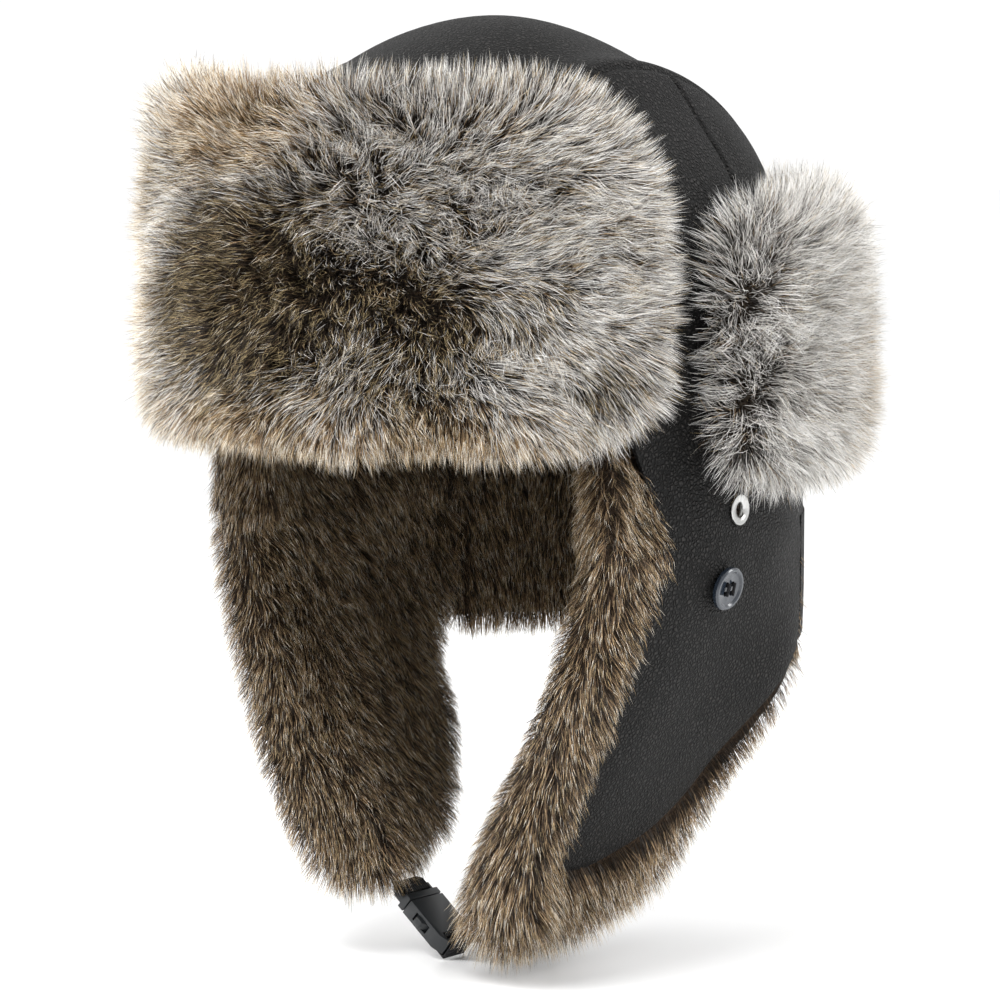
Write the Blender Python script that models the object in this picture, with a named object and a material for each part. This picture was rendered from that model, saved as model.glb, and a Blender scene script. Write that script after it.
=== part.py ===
"""A trapper hat: a panelled leather crown with a fur visor that folds down, a fur cuff round the
back, a fur-lined neck, two fur-lined ear flaps that fold up and out, and a chin strap with a
side-release buckle.

Metres, +Z up. The hat faces -Y and the wearer's left is +X. The origin is the middle of the head
opening, at brow height. An azimuth is measured from the front, towards the wearer's left.
"""

import math

import bpy
from mathutils import Matrix, Vector

# Crown: the outer face of the leather is a superellipse dome over an elliptical head opening.
HALF_WIDTH = 0.100
HALF_LENGTH = 0.125
CROWN_HEIGHT = 0.160
DOME_EXPONENT = 3.2
DOME_PEAK_SHARE = 0.20  # how much of the height is a blunt cone on top of the superellipse
DOME_PEAK_BLUNTNESS = 0.25
DOME_TILT = 0.014  # raises the front of the crown's top and lowers the back of it
RIDGE_HEIGHT = 0.0068  # the panels stand up along the centre strip's seams
RIDGE_WIDTH = 0.10  # as a share of HALF_WIDTH
RIDGE_FADE = 8  # exponent: how late the ridge fades towards the rim
STRIP_HALF_WIDTH = 0.058
SIDE_SEAM_AZIMUTH = 104
STRIP_END_AZIMUTH = math.degrees(math.asin(STRIP_HALF_WIDTH / HALF_WIDTH))
FRONT_RIM_Z = 0.014
RIM_DROP_AZIMUTHS = (67, 74)  # between these the rim drops from the brow to the fold
RIM_ROW_HEIGHT = 0.008
STRIP_FRONT_ALONG = -0.95  # the centre strip's last row above its front rim
FOLD_Z = -0.022  # where the ear flaps and the neck begin

# Layers, as depths below the outer face of the leather.
LEATHER = 0.0012
PADDING_OUT = 0.0025
PADDING_IN = 0.0052
LINING_OUT = 0.0062
LINING_IN = 0.0072
BAND_PILE_IN = 0.018
SEAM_GAP = 0.0008
LINING_BOTTOM_Z = 0.033
BAND_TOP_Z = 0.030

# Neck and the fur inside the hat.
NECK_AZIMUTH = 122
NECK_BOTTOM_Z = -0.070
NECK_FUR_BOTTOM_Z = -0.079
BAND_FRONT_AZIMUTH = 68

# Cuffs: layers as offsets outside the leather, and where each cuff stands.
CUFF_BACKING = (0.0015, 0.0027)
CUFF_CORE = (0.0035, 0.0050)
CUFF_FUR = (0.0058, 0.0265)
CUFF_HEM = 0.006  # the leather and the core stop this far inside the fur's edge
VISOR_AZIMUTH = 70
VISOR_Z = (0.010, 0.134)
VISOR_LEAN = 0.045
VISOR_CORNERS = (0.28, 0.66, 0.52)  # share of the half length, height lost at the top, at the bottom
REAR_CUFF_AZIMUTH = 82
REAR_CUFF_Z = (-0.004, 0.097)
REAR_CUFF_LEAN = 0.03
REAR_CUFF_CORNERS = (0.12, 0.30, 0.30)
CUFF_WIDEST = 0.38  # share of a cuff's height at which it is longest
CUFF_END_SHARES = (0.012, 0.03, 0.055, 0.09)  # extra columns for the rounded ends

# Each row is how far through the pile a layer lies, and how far its edge is drawn in.
PILE_ROUNDING = ((1.0, 0.011), (0.80, 0.004), (0.45, 0.0), (0.0, 0.0015))

# Ear flap: outline of the leather as (z, y), root to tip, on the front edge and on the rear one.
FLAP_FRONT = ((-0.0228, -0.035), (-0.050, -0.042), (-0.095, -0.045), (-0.128, -0.045), (-0.1455, -0.037))
FLAP_REAR = (
    (-0.0228, 0.0645),
    (-0.048, 0.0645),
    (-0.066, 0.0615),
    (-0.080, 0.0545),
    (-0.110, 0.039),
    (-0.134, 0.016),
    (-0.1455, -0.016),
)
FLAP_TIP_X = 0.052
FLAP_DROOP = 1.5  # exponent of the curve that draws the flap in towards the chin
FLAP_TIP_ARCH = 0.35  # share of the head's curve that is left at the tip
NECK_REACH_Y = (0.005, 0.060)  # the neck holds the flap upright towards its rear edge
NECK_REACH_Z = (-0.115, -0.068)
FLAP_REACH = 1.3  # how far the curve goes on below the leather, as a share of the leather's drop
FLAP_FUR_MARGIN = 0.014
FLAP_FUR_BOTTOM_Z = {"left": -0.167, "right": -0.1565}
FLAP_PILE_IN = 0.026
MARGIN_FROM_Z = -0.080
MARGIN_FULL_Z = -0.100

# Eyelets and buttons.
EYELET_AZIMUTH = 92
EYELET_Z = -0.0135
EYELET_RADIUS = 0.006
EYELET_HOLE_RADIUS = 0.0025
EYELET_BARREL_RADIUS = 0.0031
EYELET_FLANGE = 0.0008
BUTTON_Y = -0.002
BUTTON_Z = -0.0405
BUTTON_RADIUS = 0.008
BUTTON_RIM = 0.0014
BUTTON_THICKNESS = 0.0028
BUTTON_DISH = 0.0008
BUTTON_STANDOFF = 0.0016
BUTTON_HOLE_RADIUS = 0.0010
BUTTON_HOLE_PITCH = 0.0034
THREAD_RADIUS = 0.00055

# Chin strap and buckle. The buckle's own frame: X runs from the male half's bar to the female
# half's bar, Y is across the webbing, Z is its thickness.
STRAP_Y = -0.022
WEBBING_WIDTH = 0.0125
WEBBING_THICKNESS = 0.0009
BUCKLE_SCALE = 0.8  # the sizes below are those of the next larger buckle
BUCKLE_START = Vector((-0.0293, STRAP_Y, -0.1625))
BUCKLE_DROP = math.radians(40)
BUCKLE_WIDTH = 0.023
BUCKLE_THICKNESS = 0.008
BAR = 0.0022
RAIL = 0.0022
SHOULDER_X = (0.0050, 0.0086)
PLUG_TIP_X = 0.0275
PLUG_THICKNESS = 0.0038
MOUTH_X = 0.0092
CAVITY_END_X = 0.0288
CAVITY_THICKNESS = 0.0050
CAVITY_WALL = 0.0016
FEMALE_BAR_X = 0.0342
FEMALE_END_X = 0.0364
TONGUE_WIDTH = 0.0050
PRONG_WIDTH = 0.0024
PRONG_OUT_Y = 0.0094
PAD_X = (0.0160, 0.0240)
PAD_OUT_Y = 0.0135
WINDOW_GAP = 0.0008
WINDOW_THICKNESS = 0.0046
LEFT_STRAP_PIVOT = Vector((0.031, STRAP_Y, -0.1712))

# Facets.
AZIMUTH_STEP = 8
PANEL_ROWS = 9
ROW_CROWDING = 1.6  # brings a side panel's rows closer together at its top
STRIP_ROWS = 24
STRIP_COLUMNS = 14
ROW_SPREAD = 1.25  # brings the centre strip's rows closer together at its ends
DOME_SEGMENTS = 40
DOME_RINGS = (0.16, 0.34, 0.52, 0.66, 0.78, 0.87, 0.94, 0.975)
CIRCLE_SEGMENTS = 24
SIDES = {"left": 1, "right": -1}

COLOURS = {
    "leather": ((0.022, 0.019, 0.018), 0.62, 0.0),
    "silver_fur": ((0.28, 0.25, 0.21), 0.9, 0.0),
    "brown_fur": ((0.11, 0.075, 0.05), 0.9, 0.0),
    "wadding": ((0.75, 0.74, 0.70), 0.95, 0.0),
    "lining": ((0.015, 0.015, 0.017), 0.7, 0.0),
    "webbing": ((0.010, 0.010, 0.011), 0.8, 0.0),
    "buckle_plastic": ((0.016, 0.018, 0.020), 0.45, 0.0),
    "button_plastic": ((0.020, 0.026, 0.036), 0.25, 0.0),
    "thread": ((0.008, 0.008, 0.009), 0.8, 0.0),
    "metal": ((0.80, 0.80, 0.79), 0.25, 1.0),
}


# ---------------------------------------------------------------- scene helpers


def clear_scene():
    for obj in list(bpy.data.objects):
        bpy.data.objects.remove(obj)


def material(name):
    found = bpy.data.materials.get(name)
    if found:
        return found
    colour, roughness, metallic = COLOURS[name]
    made = bpy.data.materials.new(name)
    made.use_nodes = True
    shader = made.node_tree.nodes["Principled BSDF"]
    shader.inputs["Base Color"].default_value = (*colour, 1)
    shader.inputs["Roughness"].default_value = roughness
    shader.inputs["Metallic"].default_value = metallic
    return made


def empty(name, location):
    """The axis that a moving body's pieces hang from."""
    made = bpy.data.objects.new(name, None)
    made.location = location
    bpy.context.scene.collection.objects.link(made)
    return made


def add_mesh(name, points, faces, slot, parent=None):
    mesh = bpy.data.meshes.new(name)
    mesh.from_pydata(points, [], faces)
    mesh.update()
    mesh.materials.append(material(slot))
    made = bpy.data.objects.new(name, mesh)
    bpy.context.scene.collection.objects.link(made)
    if parent:
        made.parent = parent
        made.matrix_parent_inverse = Matrix.Translation(-parent.location)
    return made


def smooth(obj, angle=40):
    obj.data.shade_smooth()
    obj.data.set_sharp_from_angle(angle=math.radians(angle))
    return obj


def combine(obj, other, operation):
    """Cuts `other` from the object, or joins it on."""
    other.hide_render = True
    other.display_type = "WIRE"
    modifier = obj.modifiers.new(operation.lower(), "BOOLEAN")
    modifier.operation = operation
    modifier.object = other


# ---------------------------------------------------------------- solids from grids and outlines


def grid_loop(rows, columns):
    """Indices round the edge of a grid, anticlockwise as seen with rows down and columns right."""
    left = [row * columns for row in range(rows)]
    bottom = [(rows - 1) * columns + column for column in range(1, columns)]
    right = [row * columns + columns - 1 for row in range(rows - 2, -1, -1)]
    top = list(range(columns - 2, 0, -1))
    return left + bottom + right + top


def quads(rows, columns, first, flip):
    found = []
    for row in range(rows - 1):
        for column in range(columns - 1):
            at = first + row * columns + column
            quad = (at, at + columns, at + columns + 1, at + 1)
            found.append(quad[::-1] if flip else quad)
    return found


def layered_solid(name, layers, slot, parent=None, mirrored=False):
    """A closed solid between the first grid, its outer face, and the last, its inner face. The
    grids between give the edge its shape. Rows run downwards and columns to the left of the
    wearer, seen from outside."""
    rows, columns = len(layers[0]), len(layers[0][0])
    loop = grid_loop(rows, columns)
    size = rows * columns
    flat = [[point for row in layer for point in row] for layer in layers]
    edge_count = len(loop)
    points = flat[0] + flat[-1]
    rings = [loop]
    for layer in flat[1:-1]:
        rings.append(list(range(len(points), len(points) + edge_count)))
        points = points + [layer[index] for index in loop]
    rings.append([size + index for index in loop])
    faces = quads(rows, columns, 0, False) + quads(rows, columns, size, True)
    for upper, lower in zip(rings, rings[1:]):
        for i in range(edge_count):
            j = (i + 1) % edge_count
            faces.append((upper[j], upper[i], lower[i], lower[j]))
    if mirrored:
        points = [(-x, y, z) for x, y, z in points]
        faces = [face[::-1] for face in faces]
    return smooth(add_mesh(name, points, faces, slot, parent))


def extruded(name, outline, half, slot, parent=None):
    """A solid with an anticlockwise outline in X and Y, from -half to +half in Z."""
    count = len(outline)
    points = [(x, y, -half) for x, y in outline] + [(x, y, half) for x, y in outline]
    faces = [tuple(range(count - 1, -1, -1)), tuple(range(count, 2 * count))]
    for i in range(count):
        j = (i + 1) % count
        faces.append((i, j, count + j, count + i))
    return add_mesh(name, points, faces, slot, parent)


def box(name, x_range, y_half, z_half, slot, parent=None):
    low, high = x_range
    outline = ((low, -y_half), (high, -y_half), (high, y_half), (low, y_half))
    return extruded(name, outline, z_half, slot, parent)


def turned(name, profile, slot, parent=None):
    """A ring turned about Z from an anticlockwise profile of (radius, z)."""
    points = []
    for segment in range(CIRCLE_SEGMENTS):
        angle = 2 * math.pi * segment / CIRCLE_SEGMENTS
        points += [(r * math.cos(angle), r * math.sin(angle), z) for r, z in profile]
    count = len(profile)
    total = len(points)
    faces = []
    for segment in range(CIRCLE_SEGMENTS):
        for i in range(count):
            j = (i + 1) % count
            at = segment * count
            after = (at + count) % total
            faces.append((at + i, after + i, after + j, at + j))
    return smooth(add_mesh(name, points, faces, slot, parent))


def rod(name, start, end, radius, slot, parent=None, segments=8):
    """A round bar between two points."""
    start, end = Vector(start), Vector(end)
    turn = (end - start).to_track_quat("Z", "Y").to_matrix()
    points = []
    for centre in (start, end):
        for segment in range(segments):
            angle = 2 * math.pi * segment / segments
            points.append(centre + turn @ Vector((radius * math.cos(angle), radius * math.sin(angle), 0)))
    faces = [tuple(range(segments - 1, -1, -1)), tuple(range(segments, 2 * segments))]
    for i in range(segments):
        j = (i + 1) % segments
        faces.append((i, j, segments + j, segments + i))
    return add_mesh(name, points, faces, slot, parent)


def ribbon(name, route, slot, parent=None):
    """Webbing along a route of (x, z) points at STRAP_Y, its thickness mitred at each bend."""
    route = [Vector(point) for point in route]
    left, right = [], []
    for i, point in enumerate(route):
        before = (point - route[max(i - 1, 0)]).normalized()
        after = (route[min(i + 1, len(route) - 1)] - point).normalized()
        along = (before + after).normalized()
        across = Vector((-along.y, along.x))
        turning = after if i == 0 else before
        half = WEBBING_THICKNESS / 2 / max(abs(along.dot(turning)), 0.5)
        left.append(point + across * half)
        right.append(point - across * half)
    outline = right + left[::-1]
    made = extruded(name, outline, WEBBING_WIDTH / 2, slot, parent)
    stand_up = Matrix.Rotation(math.radians(90), 4, "X")
    made.data.transform(Matrix.Translation((0, STRAP_Y, 0)) @ stand_up)
    return made


# ---------------------------------------------------------------- surfaces


def steps(start, end, count):
    return [start + (end - start) * i / count for i in range(count + 1)]


def azimuths(start, end):
    return steps(start, end, max(2, round(abs(end - start) / AZIMUTH_STEP)))


def dome_height(share):
    """Height of the dome, as a share of the crown's, at a share of its radius."""
    ellipse = max(0.0, 1 - share**DOME_EXPONENT) ** (1 / DOME_EXPONENT)
    blunt = DOME_PEAK_BLUNTNESS
    cone = 1 - (math.hypot(share, blunt) - blunt) / (math.hypot(1, blunt) - blunt)
    return (1 - DOME_PEAK_SHARE) * ellipse + DOME_PEAK_SHARE * cone


def dome_share(height):
    """The radius share at which the dome reaches a height share: dome_height's inverse."""
    low, high = 0.0, 1.0
    for _ in range(40):
        middle = (low + high) / 2
        if dome_height(middle) > height:
            low = middle
        else:
            high = middle
    return low


def dome_point(x_share, y_share, depth):
    """A point of the dome, `depth` below the leather's face, at shares of its half width and
    half length."""
    share = min(1.0, math.hypot(x_share, y_share))
    tilt = DOME_TILT * y_share * (1 - share**2) ** 2
    z = (CROWN_HEIGHT - depth) * dome_height(share) - tilt
    return ((HALF_WIDTH - depth) * x_share, (HALF_LENGTH - depth) * y_share, z)


def crown_point(azimuth, share, depth, drop=0.0):
    """A point of the dome at an azimuth and a share of its radius, or `drop` below its edge."""
    angle = math.radians(azimuth)
    x, y, z = dome_point(share * math.sin(angle), -share * math.cos(angle), depth)
    return (x, y, z - drop)


def with_ridge(point, depth):
    """Lifts a point of the outer leather where it is near a seam of the centre strip."""
    x, y, z = point
    x_share, y_share = x / (HALF_WIDTH - depth), y / (HALF_LENGTH - depth)
    off_seam = (abs(x_share) - STRIP_HALF_WIDTH / HALF_WIDTH) / RIDGE_WIDTH
    fade = max(0.0, 1 - math.hypot(x_share, y_share) ** RIDGE_FADE)
    return (x, y, z + RIDGE_HEIGHT * fade * math.exp(-(off_seam**2)))


def wall_point(azimuth, z, offset, scale=1.0):
    """A point of an upright elliptical wall, `offset` outside the leather's face."""
    angle = math.radians(azimuth)
    return (
        (HALF_WIDTH + offset) * scale * math.sin(angle),
        -(HALF_LENGTH + offset) * scale * math.cos(angle),
        z,
    )


def through(points, at):
    """A smooth curve through (input, output) points whose inputs fall."""
    inputs = [point[0] for point in points]
    values = [point[1] for point in points]
    slopes = []
    for i in range(len(points)):
        before, after = max(i - 1, 0), min(i + 1, len(points) - 1)
        slopes.append((values[after] - values[before]) / (inputs[after] - inputs[before]))
    i = 0
    while i < len(points) - 2 and at < inputs[i + 1]:
        i += 1
    span = inputs[i + 1] - inputs[i]
    t = (at - inputs[i]) / span
    return (
        (2 * t**3 - 3 * t**2 + 1) * values[i]
        + (t**3 - 2 * t**2 + t) * span * slopes[i]
        + (3 * t**2 - 2 * t**3) * values[i + 1]
        + (t**3 - t**2) * span * slopes[i + 1]
    )


def smooth_step(start, end, at):
    """From 0 at `start` to 1 at `end`."""
    t = min(max((at - start) / (end - start), 0), 1)
    return t * t * (3 - 2 * t)


def flap_x(y, z):
    """Where the outer face of the left flap's leather lies. It stays upright along the neck."""
    down = min(max((FOLD_Z - z) / (FOLD_Z - FLAP_FRONT[-1][0]), 0), FLAP_REACH)
    beside_neck = smooth_step(*NECK_REACH_Y, y) * smooth_step(*NECK_REACH_Z, z)
    droop = (HALF_WIDTH - FLAP_TIP_X) * down**FLAP_DROOP * (1 - beside_neck)
    arch = HALF_WIDTH * (1 - math.sqrt(1 - (y / HALF_LENGTH) ** 2))
    flattening = (1 - FLAP_TIP_ARCH) * min(down, 1) * (1 - beside_neck)
    return HALF_WIDTH - droop - arch * (1 - flattening)


# ---------------------------------------------------------------- crown


def rim_z(azimuth):
    """The crown's lower edge drops behind the brow to where the flaps begin."""
    low, high = RIM_DROP_AZIMUTHS
    behind = (abs(azimuth) - low) / (high - low)
    return FRONT_RIM_Z + (FOLD_Z - FRONT_RIM_Z) * min(max(behind, 0), 1)


def side_column(azimuth, depth):
    """Points down a side panel, from the centre strip's seam to the rim."""
    seam_x = STRIP_HALF_WIDTH + SEAM_GAP
    seam_share = min(1.0, seam_x / (HALF_WIDTH * math.sin(math.radians(azimuth))))
    top = dome_height(seam_share)
    base = max(rim_z(azimuth) + RIM_ROW_HEIGHT, 0) / CROWN_HEIGHT
    heights = [top + (base - top) * down**ROW_CROWDING for down in steps(0, 1, PANEL_ROWS)]
    column = [with_ridge(crown_point(azimuth, dome_share(height), depth), depth) for height in heights]
    if base == 0:
        column[-1] = crown_point(azimuth, 1.0, depth)
    return column + [crown_point(azimuth, 1.0, depth, -rim_z(azimuth))]


def side_panel(name, start, end, side):
    """Its columns crowd towards `start`, where the seam runs down to the rim."""
    count = 11 if abs(end - start) > 50 else 8
    columns = sorted(start + (end - start) * share**ROW_CROWDING for share in steps(0, 1, count))
    layers = []
    for depth in (0.0, LEATHER):
        made = [side_column(azimuth, depth) for azimuth in columns]
        layers.append([list(row) for row in zip(*made)])
    return layered_solid(name, layers, "leather", mirrored=SIDES[side] < 0)


def strip_point(across, along, depth):
    """A point of the centre strip. `across` runs from -1 to 1 over its width, and `along` from -1
    at the front edge of the dome to 1 at the back."""
    x_share = across * STRIP_HALF_WIDTH / HALF_WIDTH
    reach = math.sqrt(1 - x_share**2)
    y_share = reach * math.sin(math.radians(90) * (1 - (1 - abs(along)) ** ROW_SPREAD))
    return with_ridge(dome_point(x_share, math.copysign(y_share, along), depth), depth)


def centre_strip():
    acrosses = steps(-1, 1, STRIP_COLUMNS)
    alongs = steps(1, STRIP_FRONT_ALONG, STRIP_ROWS)
    layers = []
    for depth in (0.0, LEATHER):
        rows = [[strip_point(across, along, depth) for across in acrosses] for along in alongs]
        back = [(x, y, FOLD_Z) for x, y, _ in rows[0]]
        rim = [strip_point(across, -1, depth) for across in acrosses]
        front = [(x, y, FRONT_RIM_Z) for x, y, _ in rim]
        layers.append([back] + rows + [front])
    return layered_solid("crown_centre_strip", layers, "leather")


def dome_shell(name, depth_out, depth_in, bottom_z, slot):
    """A domed layer inside the crown, open at the bottom."""
    around = [360 * i / DOME_SEGMENTS for i in range(DOME_SEGMENTS)]
    bottom = bottom_z / CROWN_HEIGHT
    shares = [dome_share(height) for height in DOME_RINGS if height > bottom]
    shares.insert(0, dome_share(bottom) if bottom > 0 else 1.0)
    points, rings = [], []
    for depth in (depth_out, depth_in):
        made = []
        for share in shares:
            made.append(list(range(len(points), len(points) + len(around))))
            points += [crown_point(azimuth, share, depth) for azimuth in around]
        if bottom <= 0:
            made.insert(0, list(range(len(points), len(points) + len(around))))
            points += [crown_point(azimuth, 1.0, depth, -bottom_z) for azimuth in around]
        points.append((0, 0, CROWN_HEIGHT - depth))
        rings.append((made, len(points) - 1))
    faces = []
    for (made, top), outside in zip(rings, (True, False)):
        for lower, upper in zip(made, made[1:]):
            faces += [band_face(lower, upper, i, outside) for i in range(len(around))]
        for i in range(len(around)):
            cap = (made[-1][i], made[-1][(i + 1) % len(around)], top)
            faces.append(cap if outside else cap[::-1])
    for i in range(len(around)):
        faces.append(band_face(rings[0][0][0], rings[1][0][0], i, False))
    return smooth(add_mesh(name, points, faces, slot))


def band_face(lower, upper, i, outside):
    j = (i + 1) % len(lower)
    face = (lower[i], lower[j], upper[j], upper[i])
    return face if outside else face[::-1]


def wall_grid(azimuth_range, z_range, offset, count):
    columns = azimuths(*azimuth_range)
    return [[wall_point(a, z, offset) for a in columns] for z in steps(z_range[1], z_range[0], count)]


def wall(name, azimuth_range, z_range, depths, slot, mirrored=False, count=2):
    """An upright curved layer between two depths below the leather's face."""
    layers = [wall_grid(azimuth_range, z_range, -depth, count) for depth in depths]
    return layered_solid(name, layers, slot, mirrored=mirrored)


def make_crown():
    centre_strip()
    for side in SIDES:
        front = side_panel(
            f"crown_side_front_{side}", STRIP_END_AZIMUTH + 1, SIDE_SEAM_AZIMUTH - 0.3, side
        )
        rear_end = 180 - STRIP_END_AZIMUTH - 1
        side_panel(f"crown_side_rear_{side}", rear_end, SIDE_SEAM_AZIMUTH + 0.3, side)
        eyelet(side, front)
    dome_shell("crown_padding", PADDING_OUT, PADDING_IN, FRONT_RIM_Z + 0.001, "wadding")
    dome_shell("crown_lining", LINING_OUT, LINING_IN, LINING_BOTTOM_Z, "lining")
    brow = (-BAND_FRONT_AZIMUTH + 2, BAND_FRONT_AZIMUTH - 2)
    wall("sweatband", brow, (FRONT_RIM_Z + 0.001, BAND_TOP_Z), (LINING_OUT, LINING_OUT + 0.0014), "lining")


# ---------------------------------------------------------------- neck and inner fur


def make_neck():
    """The leather behind the flaps, and the fur that lines it up into the crown."""
    span = (NECK_AZIMUTH, 360 - NECK_AZIMUTH)
    inner_span = (NECK_AZIMUTH + 1, 359 - NECK_AZIMUTH)
    wall("neck_leather", span, (NECK_BOTTOM_Z, FOLD_Z - SEAM_GAP), (0, LEATHER), "leather", count=3)
    wadding_z = (NECK_BOTTOM_Z + 0.004, FOLD_Z - SEAM_GAP)
    wall("neck_wadding", inner_span, wadding_z, (PADDING_OUT, PADDING_IN), "wadding")
    pile = (LINING_OUT, BAND_PILE_IN)
    wall("neck_fur_lining", inner_span, (NECK_FUR_BOTTOM_Z, BAND_TOP_Z), pile, "brown_fur", count=5)
    for side, sign in SIDES.items():
        wall(
            f"side_fur_lining_{side}",
            (BAND_FRONT_AZIMUTH, NECK_AZIMUTH),
            (FOLD_Z + 0.002, BAND_TOP_Z),
            pile,
            "brown_fur",
            mirrored=sign < 0,
        )


# ---------------------------------------------------------------- cuffs


def corner_share(share, corner_length, lost):
    """How much of its height a cuff keeps, at a share of its length."""
    into_corner = (abs(2 * share - 1) - (1 - corner_length)) / corner_length
    return 1 - lost * (1 - math.sqrt(1 - min(max(into_corner, 0), 1) ** 2))


def cuff_grid(azimuth_range, z_range, offset, lean, inset, corners):
    """Rows down a cuff with rounded ends, drawn in by `inset` all round."""
    first, last = azimuth_range
    low, high = z_range
    turn = math.degrees(inset / HALF_LENGTH)
    even = [(azimuth - first) / (last - first) for azimuth in azimuths(first, last)]
    middle = [share for share in even if CUFF_END_SHARES[-1] < share < 1 - CUFF_END_SHARES[-1]]
    ends = [0.0, *CUFF_END_SHARES]
    shares = ends + middle + [1 - share for share in reversed(ends)]
    widest = low + CUFF_WIDEST * (high - low)
    corner_length, lost_top, lost_bottom = corners
    rows = []
    for z in steps(high - inset, low + inset, 6):
        lost = lost_top if z > widest else lost_bottom
        row = []
        for share in shares:
            azimuth = first + turn + share * (last - first - 2 * turn)
            height = widest + (z - widest) * corner_share(share, corner_length, lost)
            scale = 1 - lean * (height - low) / (high - low)
            row.append(wall_point(azimuth, height, offset, scale))
        rows.append(row)
    return rows


def make_cuff(prefix, core_name, azimuth_range, z_range, lean, corners, parent=None):
    """A fur cuff that stands round the crown: backing leather, a firm core, and the fur."""
    sheets = ((f"{prefix}_backing", CUFF_BACKING, "leather"), (core_name, CUFF_CORE, "wadding"))
    for name, (near, far), slot in sheets:
        layers = []
        for offset in (far, near):
            layers.append(cuff_grid(azimuth_range, z_range, offset, lean, CUFF_HEM, corners))
        layered_solid(name, layers, slot, parent)
    near, far = CUFF_FUR
    layers = []
    for share, inset in PILE_ROUNDING:
        offset = near + share * (far - near)
        layers.append(cuff_grid(azimuth_range, z_range, offset, lean, inset, corners))
    layered_solid(f"{prefix}_fur", layers, "silver_fur", parent)


# ---------------------------------------------------------------- ear flaps


def flap_grid(depth, margin, bottom_z):
    """Rows across the left flap, from the fold to the tip. `margin` widens the outline, except
    where the flap's rear edge meets the neck."""
    root_z = FLAP_FRONT[0][0]
    tip_z = FLAP_FRONT[-1][0]
    rows = []
    for share in steps(0, 1, 12):
        outline_z = root_z + share * (tip_z - root_z)
        z = root_z + share * (bottom_z - root_z)
        free = min(max((MARGIN_FROM_Z - outline_z) / (MARGIN_FROM_Z - MARGIN_FULL_Z), 0), 1)
        front = through(FLAP_FRONT, outline_z) - margin
        rear = through(FLAP_REAR, outline_z) * (1 - depth / HALF_LENGTH) + margin * free
        rows.append([(flap_x(y, z) - depth, y, z) for y in steps(front, rear, 8)])
    return rows


def make_flap(side, parent):
    mirrored = SIDES[side] < 0
    tip_z = FLAP_FRONT[-1][0]
    leather = [flap_grid(depth, 0, tip_z) for depth in (0, LEATHER)]
    layered_solid(f"flap_leather_{side}", leather, "leather", parent, mirrored)
    wadding = [flap_grid(depth, -0.003, tip_z + 0.003) for depth in (PADDING_OUT, PADDING_IN)]
    layered_solid(f"flap_wadding_{side}", wadding, "wadding", parent, mirrored)
    pile = []
    for share, inset in reversed(PILE_ROUNDING):
        depth = LINING_OUT + share * (FLAP_PILE_IN - LINING_OUT)
        pile.append(flap_grid(depth, FLAP_FUR_MARGIN - inset, FLAP_FUR_BOTTOM_Z[side] + inset))
    layered_solid(f"flap_fur_lining_{side}", pile, "brown_fur", parent, mirrored)


# ---------------------------------------------------------------- eyelets and buttons


def facing(point, normal, side):
    """Turns a piece made about Z to face along the normal, at a point of the left side."""
    sign = SIDES[side]
    place = Vector((sign * point[0], point[1], point[2]))
    outward = Vector((sign * normal[0], normal[1], normal[2])).normalized()
    turn = outward.to_track_quat("Z", "Y").to_matrix().to_4x4()
    return Matrix.Translation(place) @ turn


def ring_profile(inner, outer, low, high):
    return ((inner, low), (outer, low), (outer, high), (inner, high))


def eyelet(side, panel):
    """A flanged ring pressed through the leather, and the washer that it is closed on."""
    angle = math.radians(EYELET_AZIMUTH)
    place = wall_point(EYELET_AZIMUTH, EYELET_Z, 0)
    normal = (math.sin(angle) / HALF_WIDTH, -math.cos(angle) / HALF_LENGTH, 0)
    stand = facing(place, normal, side)
    gap = 0.0004
    hole_radius = EYELET_BARREL_RADIUS + gap
    hole = rod(f"eyelet_cutter_{side}", (0, 0, -0.004), (0, 0, 0.004), hole_radius, "metal", segments=16)
    hole.data.transform(stand)
    combine(panel, hole, "DIFFERENCE")
    barrel_end = -LEATHER - 0.0010
    profile = (
        (EYELET_HOLE_RADIUS, barrel_end),
        (EYELET_BARREL_RADIUS, barrel_end),
        (EYELET_BARREL_RADIUS, gap),
        (EYELET_RADIUS, gap),
        (EYELET_RADIUS - 0.0005, gap + EYELET_FLANGE),
        (EYELET_HOLE_RADIUS + 0.0006, gap + EYELET_FLANGE),
        (EYELET_HOLE_RADIUS, gap),
    )
    turned(f"eyelet_{side}", profile, "metal").data.transform(stand)
    washer = ring_profile(
        EYELET_BARREL_RADIUS + gap, EYELET_RADIUS - 0.0005, barrel_end, -LEATHER - gap
    )
    turned(f"eyelet_washer_{side}", washer, "metal").data.transform(stand)


def button_holes():
    half = BUTTON_HOLE_PITCH / 2
    return [(x, y) for x in (-half, half) for y in (-half, half)]


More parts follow.
